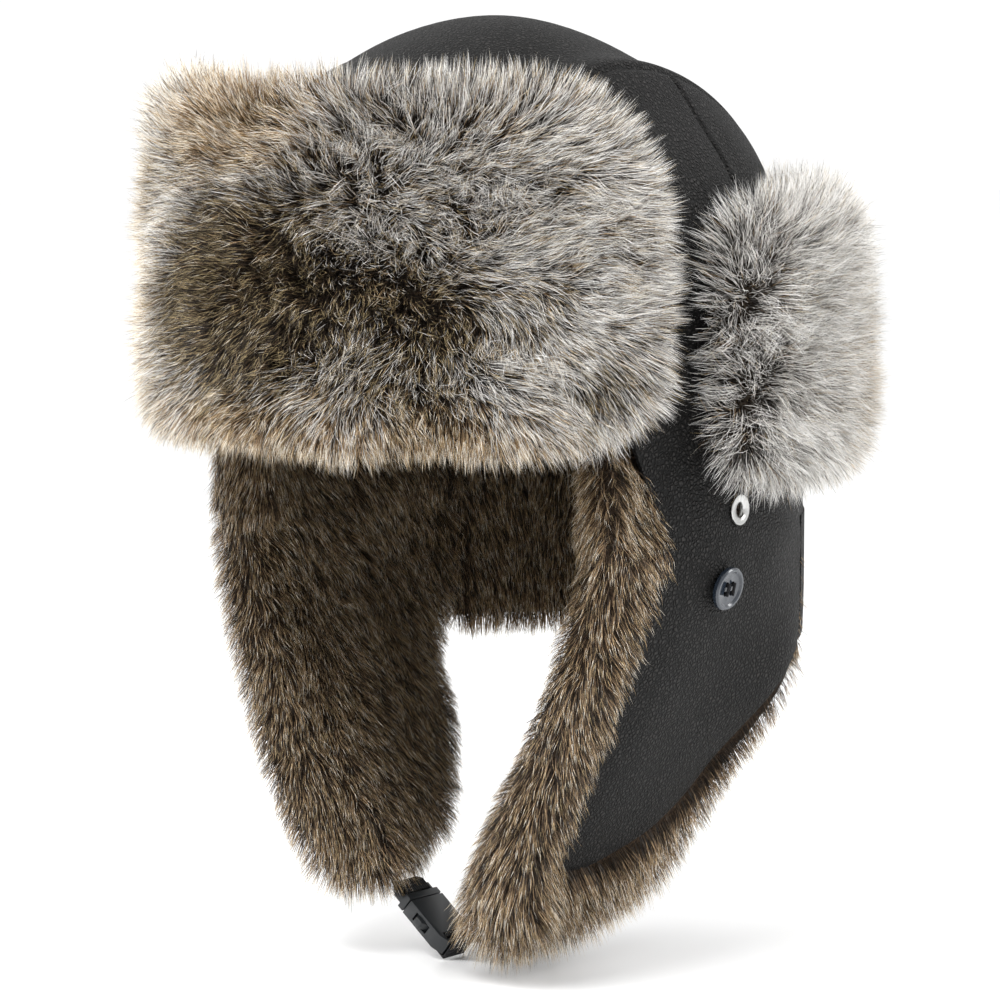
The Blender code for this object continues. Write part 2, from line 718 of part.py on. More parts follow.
def button(side, parent):
    """A four-hole button with a raised rim, and the thread that holds it to the leather."""
    x = flap_x(BUTTON_Y, BUTTON_Z)
    reach = 0.004
    slope = (flap_x(BUTTON_Y, BUTTON_Z + reach) - flap_x(BUTTON_Y, BUTTON_Z - reach)) / (2 * reach)
    sideways = (flap_x(BUTTON_Y + reach, BUTTON_Z) - flap_x(BUTTON_Y - reach, BUTTON_Z)) / (2 * reach)
    stand = facing((x, BUTTON_Y, BUTTON_Z), (1, -sideways, -slope), side)
    low, high = BUTTON_STANDOFF, BUTTON_STANDOFF + BUTTON_THICKNESS
    face = high - BUTTON_DISH
    disc = round_disc(f"button_{side}", low, high, face, parent)
    disc.data.transform(stand)
    for number, (hole_x, hole_y) in enumerate(button_holes()):
        cutter = rod(
            f"button_hole_{side}_{number}",
            (hole_x, hole_y, low - 0.001),
            (hole_x, hole_y, high + 0.001),
            BUTTON_HOLE_RADIUS,
            "button_plastic",
            parent,
            segments=12,
        )
        cutter.data.transform(stand)
        combine(disc, cutter, "DIFFERENCE")
    thread(side, face, stand, parent)


def round_disc(name, low, high, face, parent):
    """The button's blank: a disc dished inside its rim."""
    rim_in = BUTTON_RADIUS - BUTTON_RIM
    profile = (
        (BUTTON_RADIUS - 0.0008, low),
        (BUTTON_RADIUS, low + 0.0009),
        (BUTTON_RADIUS, high - 0.0006),
        (BUTTON_RADIUS - 0.0006, high),
        (rim_in, high),
        (rim_in - 0.0006, face),
    )
    count = len(profile)
    points = []
    for r, z in profile:
        for segment in range(CIRCLE_SEGMENTS):
            angle = 2 * math.pi * segment / CIRCLE_SEGMENTS
            points.append((r * math.cos(angle), r * math.sin(angle), z))
    faces = [tuple(range(CIRCLE_SEGMENTS - 1, -1, -1))]
    faces.append(tuple(range((count - 1) * CIRCLE_SEGMENTS, count * CIRCLE_SEGMENTS)))
    for ring in range(count - 1):
        lower = list(range(ring * CIRCLE_SEGMENTS, (ring + 1) * CIRCLE_SEGMENTS))
        upper = [index + CIRCLE_SEGMENTS for index in lower]
        faces += [band_face(lower, upper, i, True) for i in range(CIRCLE_SEGMENTS)]
    return smooth(add_mesh(name, points, faces, "button_plastic", parent))


def thread(side, face, stand, parent):
    """Two stitches over the button's face, down its holes and into a shank below it."""
    half = BUTTON_HOLE_PITCH / 2
    over = face + THREAD_RADIUS + 0.0003
    shank_low, shank_high = 0.0004, BUTTON_STANDOFF - 0.0003
    name = f"button_thread_{side}"
    shank = rod(name, (0, 0, shank_low), (0, 0, shank_high), 0.0032, "thread", parent, segments=16)
    shank.data.transform(stand)
    reach = half + THREAD_RADIUS * 1.2
    leg_radius = THREAD_RADIUS * 0.8
    leg_low, leg_high = shank_low + 0.0003, over + THREAD_RADIUS * 0.2
    for hole_x in (-half, half):
        runs = [((hole_x, -reach, over), (hole_x, reach, over), THREAD_RADIUS)]
        for hole_y in (-half, half):
            runs.append(((hole_x, hole_y, leg_low), (hole_x, hole_y, leg_high), leg_radius))
        for number, (start, end, radius) in enumerate(runs):
            piece = rod(f"{name}_run_{number}_{hole_x > 0}", start, end, radius, "thread", parent)
            piece.data.transform(stand)
            combine(shank, piece, "UNION")


# ---------------------------------------------------------------- chin strap and buckle


def buckle_place():
    turn = Matrix.Rotation(BUCKLE_DROP, 4, "Y")
    return Matrix.Translation(BUCKLE_START) @ turn @ Matrix.Scale(BUCKLE_SCALE, 4)


def from_buckle(x, z):
    """(x, z) of the buckle's frame as (x, z) of the hat's."""
    point = buckle_place() @ Vector((x, 0, z))
    return (point.x, point.z)


def webbing_slot(name, x_range, parent):
    return box(name, x_range, BUCKLE_WIDTH / 2 - RAIL, BUCKLE_THICKNESS, "buckle_plastic", parent)


def make_male_half(parent):
    """The half with the bar, the shoulder, a centre tongue and two squeeze prongs."""
    low, high = SHOULDER_X
    half = BUCKLE_WIDTH / 2
    prong_in = PRONG_OUT_Y - PRONG_WIDTH
    pad_low, pad_high = PAD_X
    upper = [
        (high, PRONG_OUT_Y),
        (pad_low, PRONG_OUT_Y),
        (pad_low + 0.001, PAD_OUT_Y),
        (pad_high - 0.003, PAD_OUT_Y),
        (pad_high, PRONG_OUT_Y),
        (PLUG_TIP_X, PRONG_OUT_Y - 0.001),
        (PLUG_TIP_X, prong_in),
        (high + 0.002, prong_in),
        (high + 0.002, TONGUE_WIDTH / 2),
        (PLUG_TIP_X - 0.001, TONGUE_WIDTH / 2),
    ]
    lower = [(x, -y) for x, y in upper]
    outline = [(0, half), (0, -half), (high, -half)] + lower + upper[::-1] + [(high, half)]
    body = extruded("buckle_male", outline, PLUG_THICKNESS / 2, "buckle_plastic", parent)
    shoulder = box("buckle_shoulder", (low, high), half, BUCKLE_THICKNESS / 2, "buckle_plastic", parent)
    slot = webbing_slot("buckle_male_slot", (BAR, low), parent)
    combine(body, shoulder, "UNION")
    combine(body, slot, "DIFFERENCE")
    place_buckle_half(body, [shoulder, slot])


def make_female_half(parent):
    """The half with the socket, its two side windows and its bar."""
    half = BUCKLE_WIDTH / 2
    taper = 0.003
    outline = (
        (MOUTH_X, -half),
        (FEMALE_BAR_X - 0.003, -half),
        (FEMALE_END_X, -half + taper),
        (FEMALE_END_X, half - taper),
        (FEMALE_BAR_X - 0.003, half),
        (MOUTH_X, half),
    )
    body = extruded("buckle_female", outline, BUCKLE_THICKNESS / 2, "buckle_plastic", parent)
    cutters = [
        box(
            "buckle_cavity",
            (MOUTH_X - 0.002, CAVITY_END_X),
            half - CAVITY_WALL,
            CAVITY_THICKNESS / 2,
            "buckle_plastic",
            parent,
        ),
        box(
            "buckle_windows",
            (PAD_X[0] - WINDOW_GAP, PAD_X[1] + WINDOW_GAP),
            BUCKLE_WIDTH,
            WINDOW_THICKNESS / 2,
            "buckle_plastic",
            parent,
        ),
        box(
            "buckle_female_slot",
            (CAVITY_END_X + 0.0014, FEMALE_BAR_X),
            half - RAIL - 0.001,
            BUCKLE_THICKNESS,
            "buckle_plastic",
            parent,
        ),
    ]
    for cutter in cutters:
        combine(body, cutter, "DIFFERENCE")
    place_buckle_half(body, cutters)


def place_buckle_half(body, helpers):
    for piece in [body] + helpers:
        piece.data.transform(buckle_place())


def make_straps(right_flap, left_strap):
    """The short tab on the right flap, and the longer strap on the left one. Each end is folded
    round its buckle half's bar."""
    ply = PLUG_THICKNESS / 2 + 0.0012
    in_slot = (BAR + SHOULDER_X[0]) / 2
    upper_ply = [(-0.0045, 0.0009), (-0.0015, ply), (in_slot, ply)]
    tab = upper_ply + [(x, -z) for x, z in reversed(upper_ply)]
    ribbon("strap_tab_right", [from_buckle(x, z) for x, z in tab], "webbing", right_flap)

    half = BUCKLE_THICKNESS / 2
    female_slot = (CAVITY_END_X + 0.0014 + FEMALE_BAR_X) / 2
    outside = FEMALE_END_X + 0.0012
    loop = [(female_slot, half + 0.0030), (female_slot, -half - 0.0012), (outside, -half - 0.0012)]
    loop += [(outside, half)]
    route = [from_buckle(x, z) for x, z in loop]
    route.append((LEFT_STRAP_PIVOT.x, LEFT_STRAP_PIVOT.z))
    ribbon("strap_left", route, "webbing", left_strap)


# ---------------------------------------------------------------- the hat


def build():
    clear_scene()
    make_crown()
    make_neck()
    make_cuff(
        "rear_cuff",
        "rear_cuff_interlining",
        (REAR_CUFF_AZIMUTH, 360 - REAR_CUFF_AZIMUTH),
        REAR_CUFF_Z,
        REAR_CUFF_LEAN,
        REAR_CUFF_CORNERS,
    )
    visor_hinge = empty("visor_hinge", (0, -HALF_LENGTH - CUFF_BACKING[0], VISOR_Z[0]))
    visor_span = (-VISOR_AZIMUTH, VISOR_AZIMUTH)
    make_cuff(
        "visor", "visor_stiffener", visor_span, VISOR_Z, VISOR_LEAN, VISOR_CORNERS, visor_hinge
    )
    hinges = {}
    for side, sign in SIDES.items():
        hinges[side] = empty(f"{side}_flap_hinge", (sign * HALF_WIDTH, 0, FOLD_Z))
        make_flap(side, hinges[side])
        button(side, hinges[side])
    left_strap = empty("left_strap_hinge", LEFT_STRAP_PIVOT)
    make_male_half(hinges["right"])
    make_female_half(left_strap)
    make_straps(hinges["right"], left_strap)


build()
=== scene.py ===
"""Looks of the trapper hat: smooth leather panels, fur made of tapered hairs on padded skins, a
quilted lining, webbing, buckle, buttons and eyelets, and the studio round them.

Metres, +Z up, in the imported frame. The hat faces -Y and the wearer's left is +X. An azimuth is
measured in degrees from the front, towards the wearer's left. Offsets and depths are outside and
inside the outer face of the crown's leather.
"""

import math

import bmesh
import bpy
import numpy as np
from mathutils import Matrix, Vector
from mathutils.kdtree import KDTree


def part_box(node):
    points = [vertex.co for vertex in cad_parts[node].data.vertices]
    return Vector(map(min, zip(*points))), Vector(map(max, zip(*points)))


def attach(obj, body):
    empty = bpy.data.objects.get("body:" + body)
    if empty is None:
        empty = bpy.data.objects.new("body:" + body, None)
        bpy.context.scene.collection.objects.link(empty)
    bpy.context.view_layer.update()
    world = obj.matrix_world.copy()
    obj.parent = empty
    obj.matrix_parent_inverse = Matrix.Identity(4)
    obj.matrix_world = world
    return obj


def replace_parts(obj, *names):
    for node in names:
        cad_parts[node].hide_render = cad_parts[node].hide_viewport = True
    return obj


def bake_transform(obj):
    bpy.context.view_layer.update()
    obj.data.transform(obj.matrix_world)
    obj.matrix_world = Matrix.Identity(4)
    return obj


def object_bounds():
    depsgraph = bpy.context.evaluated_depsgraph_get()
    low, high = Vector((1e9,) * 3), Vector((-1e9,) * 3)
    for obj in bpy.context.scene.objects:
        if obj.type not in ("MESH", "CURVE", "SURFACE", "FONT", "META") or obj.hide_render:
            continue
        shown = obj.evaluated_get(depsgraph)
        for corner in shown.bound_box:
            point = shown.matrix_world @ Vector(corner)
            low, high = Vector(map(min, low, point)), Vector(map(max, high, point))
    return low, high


SIDES = {"left": 1, "right": -1}

# The crown, as the CAD has it.
HALF_WIDTH = 0.100
HALF_LENGTH = 0.125
CROWN_HEIGHT = 0.160
DOME_EXPONENT = 3.2
DOME_PEAK_SHARE = 0.20
DOME_PEAK_BLUNTNESS = 0.25
DOME_TILT = 0.014
RIDGE_HEIGHT = 0.0068
RIDGE_WIDTH = 0.10
RIDGE_FADE = 8
STRIP_HALF_WIDTH = 0.058
SEAM_X = 0.0584
SIDE_SEAM_AZIMUTH = 104.0
STRIP_END_AZIMUTH = math.degrees(math.asin(SEAM_X / HALF_WIDTH))
FRONT_RIM_Z = 0.014
FOLD_Z = -0.022
RIM_AZIMUTHS = (67, 74)  # between these the crown's rim drops to the fold
NECK_AZIMUTHS = (121.7, 238.3)
NECK_BOTTOM_Z = -0.070
LEATHER = 0.0012
LEATHER_BACK = LEATHER + 0.0003  # how deep the leather's inner face is drawn
EYELET_BARREL_RADIUS = 0.0031

# Leather finish: panels swell a little and roll in at their seams.
PANEL_SWELL = 0.0005
SWELL_REACH = 0.012
SEAM_ROLL = 0.0014
ROLL_REACH = 0.0014
WRINKLE = 0.0006
WRINKLE_LENGTH = 0.055
WRINKLE_SEEDS = {"crown": 3, "flap": 7}
PANEL_GAP = 0.2  # degrees between a side panel's corner and the centre strip's seam
PANEL_STEPS = 72
STRIP_SEAM_TIGHTNESS = 1.3  # how much narrower than the roll each seam's groove is
SIDE_SEAM_TIGHTNESS = 1.35
SIDE_SEAM_END = 0.006  # below this height the side seam fades, under the rear cuff
STRIP_FRONT_SHARE = -0.967  # where the strip ends in front, as a share of its run from the middle
NECK_FREE_Z = -0.055  # below this height the neck's sides are free edges
FLAP_FREE_Z = -0.075  # below this height the flap's rear edge is free
FLAP_MAX_SWELL = 0.0009

# Lining, sweatband and binding.
LINING_DEPTH = 0.0072
LINING_BOTTOM_Z = 0.033
LINING_PUFF = 0.0016
LINING_THICKNESS = 0.0008
QUILT_TURNS = 18
QUILT_RINGS = 11.0
BROW_AZIMUTH = 70
SWEATBAND_DEPTHS = (0.0062, 0.0076)
BINDING_HEIGHTS = (0.0008, -0.0003, -0.0012)
BINDING_DEPTHS = (-0.0002, 0.0082)

# Ear flap outline as (z, y), root to tip, and its curve in towards the chin.
FLAP_FRONT = (
    (-0.0228, -0.035), (-0.050, -0.042), (-0.095, -0.045), (-0.128, -0.045), (-0.1455, -0.037)
)
FLAP_REAR = (
    (-0.0228, 0.0645), (-0.048, 0.0645), (-0.066, 0.0615), (-0.080, 0.0545),
    (-0.110, 0.039), (-0.134, 0.016), (-0.1455, -0.016),
)
FLAP_ROOT_Z, FLAP_TIP_Z = FLAP_FRONT[0][0], FLAP_FRONT[-1][0]
FLAP_TIP_X = 0.052
FLAP_DROOP = 1.5
FLAP_TIP_ARCH = 0.35
NECK_REACH_Y = (0.005, 0.060)  # the neck holds the flap upright towards its rear edge
NECK_REACH_Z = (-0.115, -0.068)
FLAP_REACH = 1.3  # how far the curve goes on below the leather, as a share of its drop
FLAP_LEATHER_TRIM = 0.004  # how far the leather stays inside its outline at the free rear edge

# The skins that the flaps' fur grows from, and how far they reach past the leather's outline.
FLAP_SKIN_DEPTHS = (0.0018, 0.0175)
FLAP_SKIN_FRONT = {"left": 0.018, "right": 0.014}
FLAP_SKIN_REAR = {"left": 0.0110, "right": 0.0}
FLAP_SKIN_BOTTOM_Z = {"left": -0.1690, "right": -0.1530}
FLAP_TIP_SWELL = {"left": 0.013, "right": 0.005}  # how much deeper the skin gets at the tip
FLAP_TIP_DRAW = {"left": 0.009, "right": 0.002}  # how much of its reach forward it loses there
FLAP_REAR_THINNING = {"left": 0.0, "right": 0.005}
FLAP_ROOT_FLARE = 0.006  # how much further forward the skin reaches at the fold
FLAP_FLARE_REACH = 0.15  # as a share of the flap's drop
FLAP_SKIN_WIDTH = 0.100
FLAP_EDGE_ROLL = 0.005  # how far the skin rolls out at its front edge, and over what width
FLAP_ROLL_REACH = 0.008
FLAP_ROUNDING = (  # (share of the depth, how far the outline is drawn in)
    (0.0, 0.0045), (0.10, 0.0014), (0.30, 0.0), (0.60, 0.0014), (0.85, 0.0045), (1.0, 0.0090)
)

# The same for the fur inside the crown and the neck: angles and heights, then depths.
BAND_AZIMUTHS = {"side": (61.5, 121.5), "neck": (123, 237)}
BAND_HEIGHTS = {"side": (-0.0225, 0.030), "neck": (-0.0735, 0.030)}
BAND_DEPTHS = {"side": (0.0062, 0.0135), "neck": (0.0062, 0.0125)}
BAND_ROUNDING = ((0.0, 0.002), (0.5, 0.0), (0.85, 0.0012), (1.0, 0.004))
BAND_ROLL_REACH = 3.5  # in degrees
BAND_EXPOSED_Z = (0.006, 0.012)  # below the first height its front edge shows, under the brow

# Cuffs: skins that the fur grows from, as offsets, and how far they stay inside the fur's outline.
# A corner is a share of the half length, the height lost at the top and at the bottom. A shift
# is how much higher than the CAD's fur the skin has its top and its bottom.
NO_SHIFT = (0.0, 0.0)
VISOR = {
    "azimuths": (-70, 70),
    "z": (0.010, 0.134),
    "lean": 0.045,
    "corners": (0.28, 0.66, 0.52),
    "core": "visor_stiffener",
    "shift": (0.0045, 0.0040),
}
REAR_CUFF = {
    "azimuths": (82, 278),
    "z": (-0.004, 0.097),
    "lean": 0.03,
    "corners": (0.12, 0.30, 0.30),
    "core": "rear_cuff_interlining",
    "shift": NO_SHIFT,
}
CUFF_WIDEST = 0.38  # share of a cuff's height at which it is longest
CUFF_SKIN = (0.0030, 0.0150)
CUFF_INSET = 0.0075
CUFF_ROUNDING = (
    (1.0, 0.0085), (0.90, 0.0040), (0.70, 0.0012), (0.45, 0.0), (0.20, 0.0008), (0.0, 0.0030)
)
BACKING = (0.0015, 0.0027)
BACKING_INSET = 0.006
BACKING_EDGE = ((1.0, 0.0), (0.0, 0.0))

# Patches of colour in the cuffs' fur: (strength, azimuth, height, reach round, reach up).
VISOR_DARK = ((1.90, -3, 0.065, 19, 0.033), (0.95, 31, 0.052, 9, 0.030), (0.70, 57, 0.037, 4, 0.010))
VISOR_TAN = (
    (1.7, -7, 0.122, 15, 0.012), (1.5, -5, 0.021, 18, 0.011), (1.9, 31, 0.017, 12, 0.012),
    (0.8, 47, 0.018, 6, 0.008), (0.9, -47, 0.056, 14, 0.044),
)
REAR_CUFF_DARK = ((0.30, 84, 0.028, 5, 0.010), (0.20, 98, 0.060, 5, 0.012))
REAR_CUFF_TAN = ((0.8, 122, 0.030, 12, 0.030),)

# Fur. A hair is a tapered ribbon of three spans, each with its own tint.
HAIR_SPANS = (0.0, 0.36, 0.70, 1.0)
HAIR_TAPER = (1.0, 0.88, 0.55)
HAIR_CORNERS = ((0, 1, 3, 2), (2, 3, 5, 4), (4, 5, 6))
HAIRS_PER_PIECE = 38000
CUFF_HAIRS = 114000
FLAP_HAIRS = 38000
NECK_HAIRS = 38000
EAR_HAIRS = 18000
HAIR_WIDTHS = (0.00016, 0.00027)
SHORT_HAIR_WIDTHS = (0.00016, 0.00026)
SHORT_HAIR = 0.0115
FLAP_TIP_GAIN = 0.0045  # how much longer the hairs are at a flap's tip
HAIR_MARGIN = 0.001  # how far hairs go in under the edge of the leather
VISOR_HAIR = 0.0182
VISOR_DARK_LOSS = 0.0045  # how much shorter the visor's hairs are in the dark patches
REAR_CUFF_HAIR = 0.0185
ROOT_DEPTH = 0.0005
CUFF_LOCKS = {"size": 7, "pull": 0.85}  # hairs to a lock, and how strongly it gathers
SHORT_LOCKS = {"size": 9, "pull": 0.50}
TINTS = {
    "black_brown": (0.008, 0.006, 0.004),
    "dark_brown": (0.034, 0.023, 0.014),
    "brown": (0.095, 0.062, 0.036),
    "warm_brown": (0.190, 0.122, 0.068),
    "tan": (0.360, 0.245, 0.135),
    "ochre": (0.520, 0.370, 0.205),
    "straw": (0.400, 0.310, 0.165),
    "cream": (0.700, 0.600, 0.440),
    "pale_cream": (0.860, 0.790, 0.670),
    "dark_grey": (0.042, 0.039, 0.036),
    "grey": (0.180, 0.170, 0.158),
    "silver_grey": (0.440, 0.420, 0.395),
    "silver": (0.760, 0.740, 0.705),
    "white": (0.930, 0.920, 0.900),
}
HAIR_KINDS = {  # tints at the root, the middle and the tip
    "dark": ("black_brown", "black_brown", "dark_brown"),
    "black_tip": ("dark_brown", "brown", "black_brown"),
    "agouti": ("black_brown", "dark_brown", "straw"),
    "tan": ("dark_brown", "warm_brown", "ochre"),
    "sandy": ("brown", "tan", "pale_cream"),
    "grey": ("black_brown", "dark_grey", "silver_grey"),
    "silver": ("dark_grey", "silver_grey", "silver"),
    "white": ("grey", "silver", "white"),
}


# ---------------------------------------------------------------- surfaces


def unit(vectors):
    return vectors / np.maximum(np.linalg.norm(vectors, axis=-1, keepdims=True), 1e-9)


def spaced(count):
    """From 0 to 1 in `count` steps that crowd at both ends."""
    return 0.5 - 0.5 * np.cos(np.pi * np.arange(count + 1) / count)


def ripple(points, wavelength, seed):
    """A smooth vector field between about -1 and 1, from a few waves in fixed random directions."""
    rng = np.random.default_rng(seed)
    total = np.zeros(points.shape)
    waves = 9
    for _ in range(waves):
        wave = unit(rng.normal(size=3)) * 2 * np.pi / (wavelength * rng.uniform(0.7, 1.5))
        phases = rng.uniform(0, 2 * np.pi, 3)
        total += np.sin((points @ wave)[..., None] + phases)
    return total / math.sqrt(waves)


def dome_height(share):
    ellipse = np.clip(1 - share**DOME_EXPONENT, 0, None) ** (1 / DOME_EXPONENT)
    blunt = DOME_PEAK_BLUNTNESS
    cone = 1 - (np.hypot(share, blunt) - blunt) / (math.hypot(1, blunt) - blunt)
    return (1 - DOME_PEAK_SHARE) * ellipse + DOME_PEAK_SHARE * cone


def dome_share(height):
    low, high = np.zeros_like(height), np.ones_like(height)
    for _ in range(40):
        middle = (low + high) / 2
        above = dome_height(middle) > height
        low = np.where(above, middle, low)
        high = np.where(above, high, middle)
    return low


def crown_points(azimuth, share, wall_z, depth, ridged=False):
    """Points of the crown at angles in radians; `wall_z` is the height below the dome's edge.
    The outer leather is ridged: it stands up along the centre strip's seams."""
    x_share, y_share = share * np.sin(azimuth), -share * np.cos(azimuth)
    tilt = DOME_TILT * y_share * (1 - share**2) ** 2
    z = (CROWN_HEIGHT - depth) * dome_height(share) - tilt + wall_z
    if ridged:
        off_seam = (np.abs(x_share) - STRIP_HALF_WIDTH / HALF_WIDTH) / RIDGE_WIDTH
        z = z + RIDGE_HEIGHT * (1 - share**RIDGE_FADE) * np.exp(-(off_seam**2))
    return np.stack([(HALF_WIDTH - depth) * x_share, (HALF_LENGTH - depth) * y_share, z], axis=-1)


def wall_points(azimuth, z, offset, scale=1.0):
    """Points of an upright elliptical wall, at angles in degrees."""
    angle = np.radians(azimuth)
    x = (HALF_WIDTH + offset) * scale * np.sin(angle)
    y = -(HALF_LENGTH + offset) * scale * np.cos(angle)
    return np.stack(np.broadcast_arrays(x, y, z), axis=-1)


def through(points, at):
    """A smooth curve through (input, output) points whose inputs fall."""
    inputs = np.array([point[0] for point in points])
    values = np.array([point[1] for point in points])
    slopes = np.gradient(values, inputs)
    slopes[1:-1] = (values[2:] - values[:-2]) / (inputs[2:] - inputs[:-2])
    place = np.clip(np.searchsorted(-inputs, -np.asarray(at)) - 1, 0, len(points) - 2)
    span = inputs[place + 1] - inputs[place]
    t = (at - inputs[place]) / span
    return (
        (2 * t**3 - 3 * t**2 + 1) * values[place]
        + (t**3 - 2 * t**2 + t) * span * slopes[place]
        + (3 * t**2 - 2 * t**3) * values[place + 1]
        + (t**3 - t**2) * span * slopes[place + 1]
    )


def smooth_step(start, end, at):
    """From 0 at `start` to 1 at `end`."""
    t = np.clip((at - start) / (end - start), 0, 1)
    return t * t * (3 - 2 * t)


def flap_x(y, z):
    """Where the outer face of the left flap's leather lies. It stays upright along the neck."""
    down = np.clip((FOLD_Z - z) / (FOLD_Z - FLAP_TIP_Z), 0, FLAP_REACH)
    beside_neck = smooth_step(*NECK_REACH_Y, y) * smooth_step(*NECK_REACH_Z, z)
    droop = (HALF_WIDTH - FLAP_TIP_X) * down**FLAP_DROOP * (1 - beside_neck)
    arch = HALF_WIDTH * (1 - np.sqrt(1 - (y / HALF_LENGTH) ** 2))
    flattening = (1 - FLAP_TIP_ARCH) * np.minimum(down, 1) * (1 - beside_neck)
    return HALF_WIDTH - droop - arch * (1 - flattening)


def leather_depth(edge_distance):
    """How far a panel's face lies below the nominal one, at a distance from its nearest edge."""
    swell = PANEL_SWELL * (1 - np.exp(-((edge_distance / SWELL_REACH) ** 2)))
    return SEAM_ROLL * np.exp(-((edge_distance / ROLL_REACH) ** 2)) - swell


# ---------------------------------------------------------------- meshes


def place(name, data):
    made = bpy.data.objects.new(name, data)
    bpy.context.scene.collection.objects.link(made)
    return made


def loop_round(rows, columns):
    """Indices round the edge of a grid."""
    left = [row * columns for row in range(rows)]
    bottom = [(rows - 1) * columns + column for column in range(1, columns)]
    right = [row * columns + columns - 1 for row in range(rows - 2, -1, -1)]
    return left + bottom + right + list(range(columns - 2, 0, -1))


def shell(name, layers, surface, mirrored=False, sharp=60):
    """A closed solid between grids of points, the outer face first. The grids between give the
    edge its shape. Rows run downwards and columns to the wearer's left, seen from outside."""
    rows, columns = layers[0].shape[:2]
    loop = loop_round(rows, columns)
    size = rows * columns
    flat = [layer.reshape(-1, 3) for layer in layers]
    points = [flat[0], flat[-1]]
    rings = [loop]
    first = 2 * size
    for layer in flat[1:-1]:
        points.append(layer[loop])
        rings.append(list(range(first, first + len(loop))))
        first += len(loop)
    rings.append([size + index for index in loop])
    faces = []
    for row in range(rows - 1):
        for column in range(columns - 1):
            at = row * columns + column
            corners = (at, at + columns, at + columns + 1, at + 1)
            faces.append(corners)
            faces.append(tuple(size + index for index in reversed(corners)))
    for upper, lower in zip(rings, rings[1:]):
        for i in range(len(loop)):
            j = (i + 1) % len(loop)
            faces.append((upper[j], upper[i], lower[i], lower[j]))
    everything = np.concatenate(points)
    if mirrored:
        everything = everything * (-1, 1, 1)
        faces = [face[::-1] for face in faces]
    mesh = bpy.data.meshes.new(name)
    mesh.from_pydata(everything.tolist(), [], faces)
    mesh.materials.append(surface)
    mesh.shade_smooth()
    mesh.set_sharp_from_angle(angle=math.radians(sharp))
    return place(name, mesh)


def refined(node, name, surface, bevel, angle=30):
    """A CAD node's shape, its edges past `angle` degrees rounded, to show in its place."""
    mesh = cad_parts[node].data.copy()
    made = place(name, mesh)
    form = bmesh.new()
    form.from_mesh(mesh)
    bmesh.ops.remove_doubles(form, verts=form.verts, dist=1e-6)
    flat = math.radians(1)
    bmesh.ops.dissolve_limit(form, angle_limit=flat, verts=form.verts, edges=form.edges)
    if bevel:
        sharp = math.radians(angle)
        pairs = [edge for edge in form.edges if len(edge.link_faces) == 2]
        edges = [edge for edge in pairs if edge.calc_face_angle(0) > sharp]
        rounding = {"segments": 2, "profile": 0.5, "affect": "EDGES", "clamp_overlap": True}
        bmesh.ops.bevel(form, geom=edges, offset=bevel, **rounding)
    bmesh.ops.triangulate(form, faces=form.faces)
    form.to_mesh(mesh)
    form.free()
    mesh.materials.clear()
    mesh.materials.append(surface)
    mesh.shade_smooth()
    mesh.set_sharp_from_angle(angle=math.radians(40))
    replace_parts(made, node)
    return made


def cut(obj, cutter):
    """Cuts a hole in a mesh and leaves no modifier on it."""
    modifier = obj.modifiers.new("cut", "BOOLEAN")
    modifier.object = cutter
    graph = bpy.context.evaluated_depsgraph_get()
    mesh = bpy.data.meshes.new_from_object(obj.evaluated_get(graph))
    obj.modifiers.clear()
    obj.data = mesh
    bpy.data.objects.remove(cutter)


# ---------------------------------------------------------------- materials


def new_material(name, colour, roughness, specular):
    made = bpy.data.materials.new(name)
    made.use_nodes = True
    shader = made.node_tree.nodes["Principled BSDF"]
    shader.inputs["Base Color"].default_value = (*colour, 1)
    shader.inputs["Roughness"].default_value = roughness
    shader.inputs["Specular IOR Level"].default_value = specular
    return made, shader


def add_node(tree, kind, **inputs):
    made = tree.nodes.new(kind)
    for name, value in inputs.items():
        made.inputs[name].default_value = value
    return made


def noise(tree, coords, scale, detail):
    made = add_node(tree, "ShaderNodeTexNoise", Scale=scale, Detail=detail)
    tree.links.new(coords, made.inputs["Vector"])
    return made


def colour_ramp(tree, source, stops):
    """A ramp through (position, colour) stops."""
    ramp = tree.nodes.new("ShaderNodeValToRGB")
    elements = ramp.color_ramp.elements
    while len(elements) < len(stops):
        elements.new(0.5)
    for element, (position, colour) in zip(elements, stops):
        element.position = position
        element.color = (*colour, 1)
    tree.links.new(source, ramp.inputs["Fac"])
    return ramp.outputs["Color"]


def bump(tree, shader, heights, strength, distance):
    made = add_node(tree, "ShaderNodeBump", Strength=strength, Distance=distance)
    tree.links.new(heights, made.inputs["Height"])
    tree.links.new(made.outputs["Normal"], shader.inputs["Normal"])


def start_textured(name, colour, roughness, specular):
    """A new material, its shader, its node tree and the object's own coordinates."""
    made, shader = new_material(name, colour, roughness, specular)
    tree = made.node_tree
    return made, shader, tree, tree.nodes.new("ShaderNodeTexCoord").outputs["Object"]


